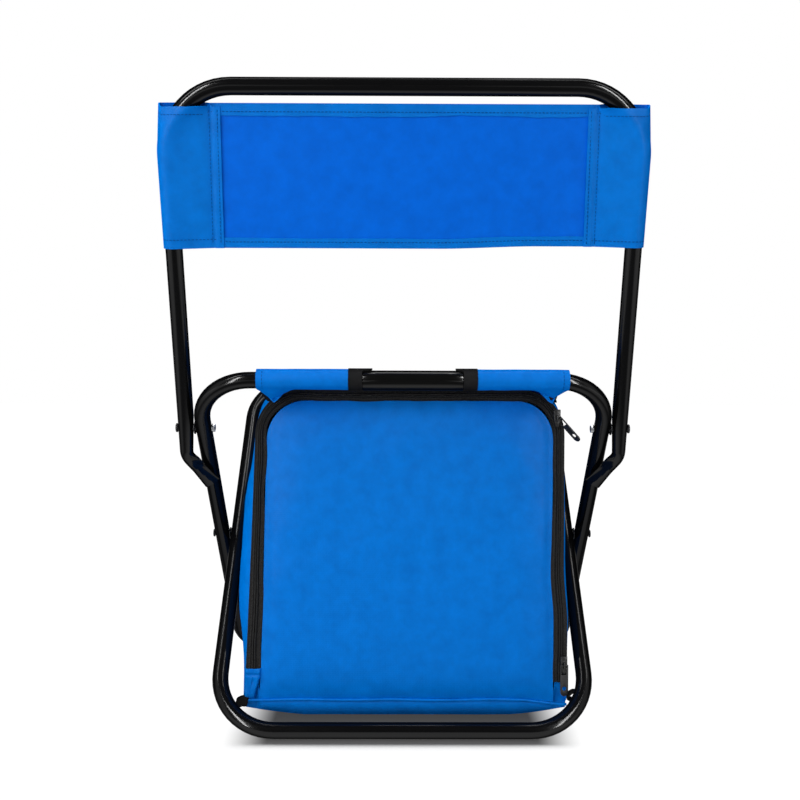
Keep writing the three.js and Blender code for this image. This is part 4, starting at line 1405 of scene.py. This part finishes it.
# The zip: two woven tapes with a nylon coil between them, sewn round the door's two sides and top.
# The tapes are 11 to 13 mm wide together, ribbed along their length, and dull black.
def ribbed_tape(name, colour, shade, rib_mm):
    """A tape that reads its own flat map: ribs along its length and a fuzz of short fibres."""
    fuzz_size = 3 * MM
    rib_depth = 0.25 * MM
    material = new_material(name)
    tree = material.node_tree
    place = add_node(tree, "ShaderNodeTexCoord")
    apart = add_node(tree, "ShaderNodeSeparateXYZ", links={"Vector": place.outputs["UV"]})
    turn = add_node(tree, "ShaderNodeMath", {1: 2 * math.pi / (rib_mm * MM)}, {"operation": "MULTIPLY"}, {
        0: apart.outputs["X"]})
    wave = add_node(tree, "ShaderNodeMath", settings={"operation": "SINE"}, links={0: turn.outputs[0]})
    patches = add_node(tree, "ShaderNodeTexNoise", {"Scale": 1 / fuzz_size, "Detail": 3.0}, links={
        "Vector": place.outputs["Object"]})
    height = add_node(tree, "ShaderNodeMath", settings={"operation": "ADD"}, links={
        0: wave.outputs[0], 1: patches.outputs["Fac"]})
    bump = add_node(tree, "ShaderNodeBump", {"Strength": 0.6, "Distance": rib_depth}, links={
        "Height": height.outputs[0]})
    tone = add_node(tree, "ShaderNodeMix", {6: linear(shade), 7: linear(colour)}, {"data_type": "RGBA"}, {
        0: patches.outputs["Fac"]})
    yarn = add_node(tree, "ShaderNodeBsdfPrincipled", {"Roughness": 0.6, "Specular IOR Level": 0.14}, links={
        "Base Color": tone.outputs[2], "Normal": bump.outputs["Normal"]})
    add_node(tree, "ShaderNodeOutputMaterial", links={"Surface": yarn.outputs[0]})
    return material


# Woven nylon tape: dull black with fine ribs, drawn 1.5 mm apart so that they show.
zip_weave = ribbed_tape("black_zip_tape", "#242425", "#101010", 1.5)
tape_bottom = seam_z + 1.8 * MM
zip_end = 26 * MM
zip_start = 15 * MM
zip_steps = 180
zip_pair_width = 10.5 * MM
zip_ripple = 0.7 * MM
ripple_from_edge = 5 * MM


def arch_points(left_bottom, right_bottom):
    """The outer edge of the zip's arch, from its lower left end over the top to its lower right end."""
    r = bag_corner
    line = [Vector((-bag_half, left_bottom, 0)), Vector((-bag_half, bag_top - r, 0))]
    for side, first, last, step in ((-1, 1, 17, 1), (1, 16, -1, -1)):
        for i in range(first, last, step):
            a = math.pi / 2 * i / 16
            line.append(Vector((side * (bag_half - r * (1 - math.cos(a))), bag_top - r + r * math.sin(a), 0)))
    line.append(Vector((bag_half, right_bottom, 0)))
    return resample(line, zip_steps + 1)


def zip_strip(name, profile, body, node):
    """A tape along the door's arch: profile lists how far in from the edge, and how far out behind."""
    middle = arch_points(tape_bottom + zip_end, tape_bottom + zip_start)

    def place(u, v):
        i = round(u * zip_steps)
        off, out = profile[round(v * len(profile)) % len(profile)]
        point = middle[i]
        way = (middle[min(i + 1, zip_steps)] - middle[max(i - 1, 0)]).normalized()
        inward = Vector((way.y, -way.x, 0))
        ripple = zip_ripple * noise.noise(Vector((point.x / 0.025, point.y / 0.03, 8.8)))
        spot = point + inward * (off * tape_share(point.y) + ripple * off / ripple_from_edge)
        return Vector((seat_middle + spot.x + bag_lean(spot.x, spot.y), bag_rear_y - out, spot.y))

    piece = cloth(name, zip_steps, len(profile), place, (0.8, 0.02), 0, loop=True)
    close_ends(piece)
    finish_mesh(piece, 50)
    return dress(piece, zip_weave, "black_webbing", body, [node])


tape_profile = [(0, 0.4), (0, 1.5), (0.7, 2.1), (1.4, 1.6), (1.9, 1.5), (2.5, 2.0), (3.1, 2.0), (3.6, 1.6),
                (3.7, 3.0), (4.2, 3.6), (4.9, 3.5), (5.1, 3.0), (5.1, 0.4)]
zip_strip(
    "zip_tape_bag_side", [(a * MM, b * MM) for a, b in tape_profile], "cooler_rear", "bag_zip_tape")
zip_strip(
    "zip_tape_door_side", [(zip_pair_width - a * MM, b * MM) for a, b in reversed(tape_profile)],
    "cooler_door", "door_zip_tape")


# The covered zip end at the lower left: the tapes' ends are folded into two patches of the blue cloth.
# A seam crosses the fold, and the patches are sewn into the hinge seam below.
cover_out = 3.2 * MM
seam_groove = 1.2 * MM
cover_split = 6.3 * MM
cover_low = tape_bottom - 1 * MM
cover_high = tape_bottom + zip_end + 1.5 * MM
cover_rest = 0.6 * MM
pleat_depth = 0.7 * MM
crumple_depth = 0.8 * MM
cover_thickness = 1 * MM


def end_cover(name, left, right, outer, body, node):
    """One patch between two lines right of the bag's edge. It narrows downwards and rounds over outside."""
    def place(u, v):
        x = mix(left, right, u) * mix(0.68, 1.04, smooth(v, 0, 0.9)) - bag_half
        z = mix(cover_low, cover_high, v)
        round_over = (1 - abs(u - outer) ** 16) * (1 - (1 - v) ** 12)
        crumple = pleat_depth * math.sin(9 * v + 2 * u)
        crumple += crumple_depth * noise.noise(Vector((x / 0.006, 2.0, z / 0.008)))
        groove = seam_groove * math.exp(-((v - 0.8) / 0.05) ** 2)
        y = bag_rear_y - cover_rest - (cover_out + crumple) * round_over + groove
        return Vector((seat_middle + x + bag_lean(x, z), y, z))
    piece = cloth(name, 12, 36, place, (right - left, zip_end), cover_thickness)
    return dress(piece, blue_woven_polyester, "blue_cloth", body, [node])


end_cover("zip_end_patch", 0.2 * MM, cover_split, 1, "cooler_rear", "zip_end_cover")
end_cover("door_zip_end_patch", cover_split + 0.05 * MM, 12.8 * MM, 0, "cooler_door", "door_zip_end_cover")


# The hinge seam: the bottom edge of the door is sewn to the bag in a thin piped roll of the blue cloth.
seam_radius = 1.3 * MM
seam_sides = 14
seam_pieces = 120
seam_wave = 0.7 * MM
seam_swell = 0.8 * MM
seam_start = Vector((seat_middle - seam_half, bag_rear_y - 1.6 * MM, seam_z))
seam_roll = tube_start("door_seam_roll", seam_start, across, seam_radius, seam_sides)
tube_straight(2 * seam_half * across, seam_pieces)
out_of_edit()
close_ends(seam_roll)
for vertex in seam_roll.data.vertices:
    x = vertex.co.x - seat_middle
    vertex.co.z += seam_wave * noise.noise(Vector((x / 0.05, 0.3, 9.1))) - seam_fall(x)
    vertex.co.y -= seam_swell * (1 - (x / bag_half) ** 6)
    vertex.co.x += bag_lean(x, vertex.co.z)
finish_mesh(seam_roll, cloth_smoothing)
in_edit(seam_roll)
bpy.ops.uv.cube_project(cube_size=1.0)
out_of_edit()
dress(seam_roll, blue_woven_polyester, "blue_cloth", "cooler_rear", ["door_hinge_seam"])


# Corner tabs: loops of narrow black webbing sewn into the bag's two lower rear corners.
# The left one is crushed flat and seen from its face, and the right one stands open.
webbing_thickness = 1.2 * MM


def corner_tab(name, line, depth_way, width, node):
    """A strip along a line of points, pinched in the middle where it turns back."""
    def place(u, v):
        point = line[round(u * (len(line) - 1))]
        pinch = 1 - 0.35 * math.sin(math.pi * u) ** 2
        return point + mix(-0.5, 0.5, v) * width * pinch * Vector(depth_way)
    piece = cloth(name, len(line) - 1, 6, place, (40 * MM, 12 * MM), webbing_thickness)
    return dress(piece, black_binding, "black_webbing", "cooler_rear", [node])


left_root = Vector((seat_middle - bag_half - 6.5 * MM, bag_rear_y - 2.2 * MM, bag_low.z + 15 * MM))
right_root = Vector((seat_middle + bag_half - 0.5 * MM, bag_rear_y - 4.5 * MM, bag_low.z + 19 * MM))
loop_steps = 24
left_line, right_line = [], []
for i in range(loop_steps + 1):
    turn = 2 * math.pi * (i / loop_steps - 0.5) * 0.92
    reach = (1 + math.cos(turn)) / 2
    twist = math.sin(turn)
    left_line.append(left_root + MM * Vector((
        -11.5 * reach, 1.4 * twist, -3.5 * reach + 0.8 * math.sin(2 * turn))))
    right_line.append(right_root + MM * Vector((
        8.5 * reach, 2 * twist, 1.5 * reach - 5.5 * twist * (0.5 + reach / 2))))
corner_tab("corner_loop_left", left_line, (0.25, 0.1, 1), 12 * MM, "corner_tab_left")
corner_tab("corner_loop_right", right_line, (0.1, 1, 0.25), 8 * MM, "corner_tab_right")


# Zip sliders and pulls: die-cast zinc, enamelled or plated black. Each pull has a window at its hinge
# and a hole at its end.
def settle(piece, shift, turn=0, way=(0, 0, 1)):
    """Lays a piece where the soft tape holds it: moved, and rolled about its own length."""
    low = Vector([min(v.co[i] for v in piece.data.vertices) for i in range(3)])
    high = Vector([max(v.co[i] for v in piece.data.vertices) for i in range(3)])
    middle = (low + high) / 2
    roll = Matrix.Rotation(turn, 4, Vector(way))
    piece.data.transform(Matrix.Translation(middle + Vector(shift)) @ roll @ Matrix.Translation(-middle))


pull_way = Vector((0.669, 0, -0.743))
pull_roll = math.radians(58)
for level, slider_shift, pull_shift, turn, finish in (
        ("lower", -2.3 * MM, -2.3 * MM, 0, black_nickel_plate),
        ("upper", -9.8 * MM, -8.6 * MM, pull_roll, black_enamel)):
    slider = softened(
        f"{level}_slider", f"{level}_zip_slider", 0.5 * MM, black_enamel, "black_zinc", f"{level}_slider")
    pull = softened(f"{level}_pull", f"{level}_zip_pull", 0.3 * MM, finish, "black_zinc", f"{level}_pull")
    settle(slider, (slider_shift, 0, 0))
    settle(pull, (pull_shift, 0, 0), turn, pull_way)


# The bag's wall, foam, lining and lip each get a mesh of their own.
for piece in (shell, foam, lining, lip):
    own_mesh(piece)
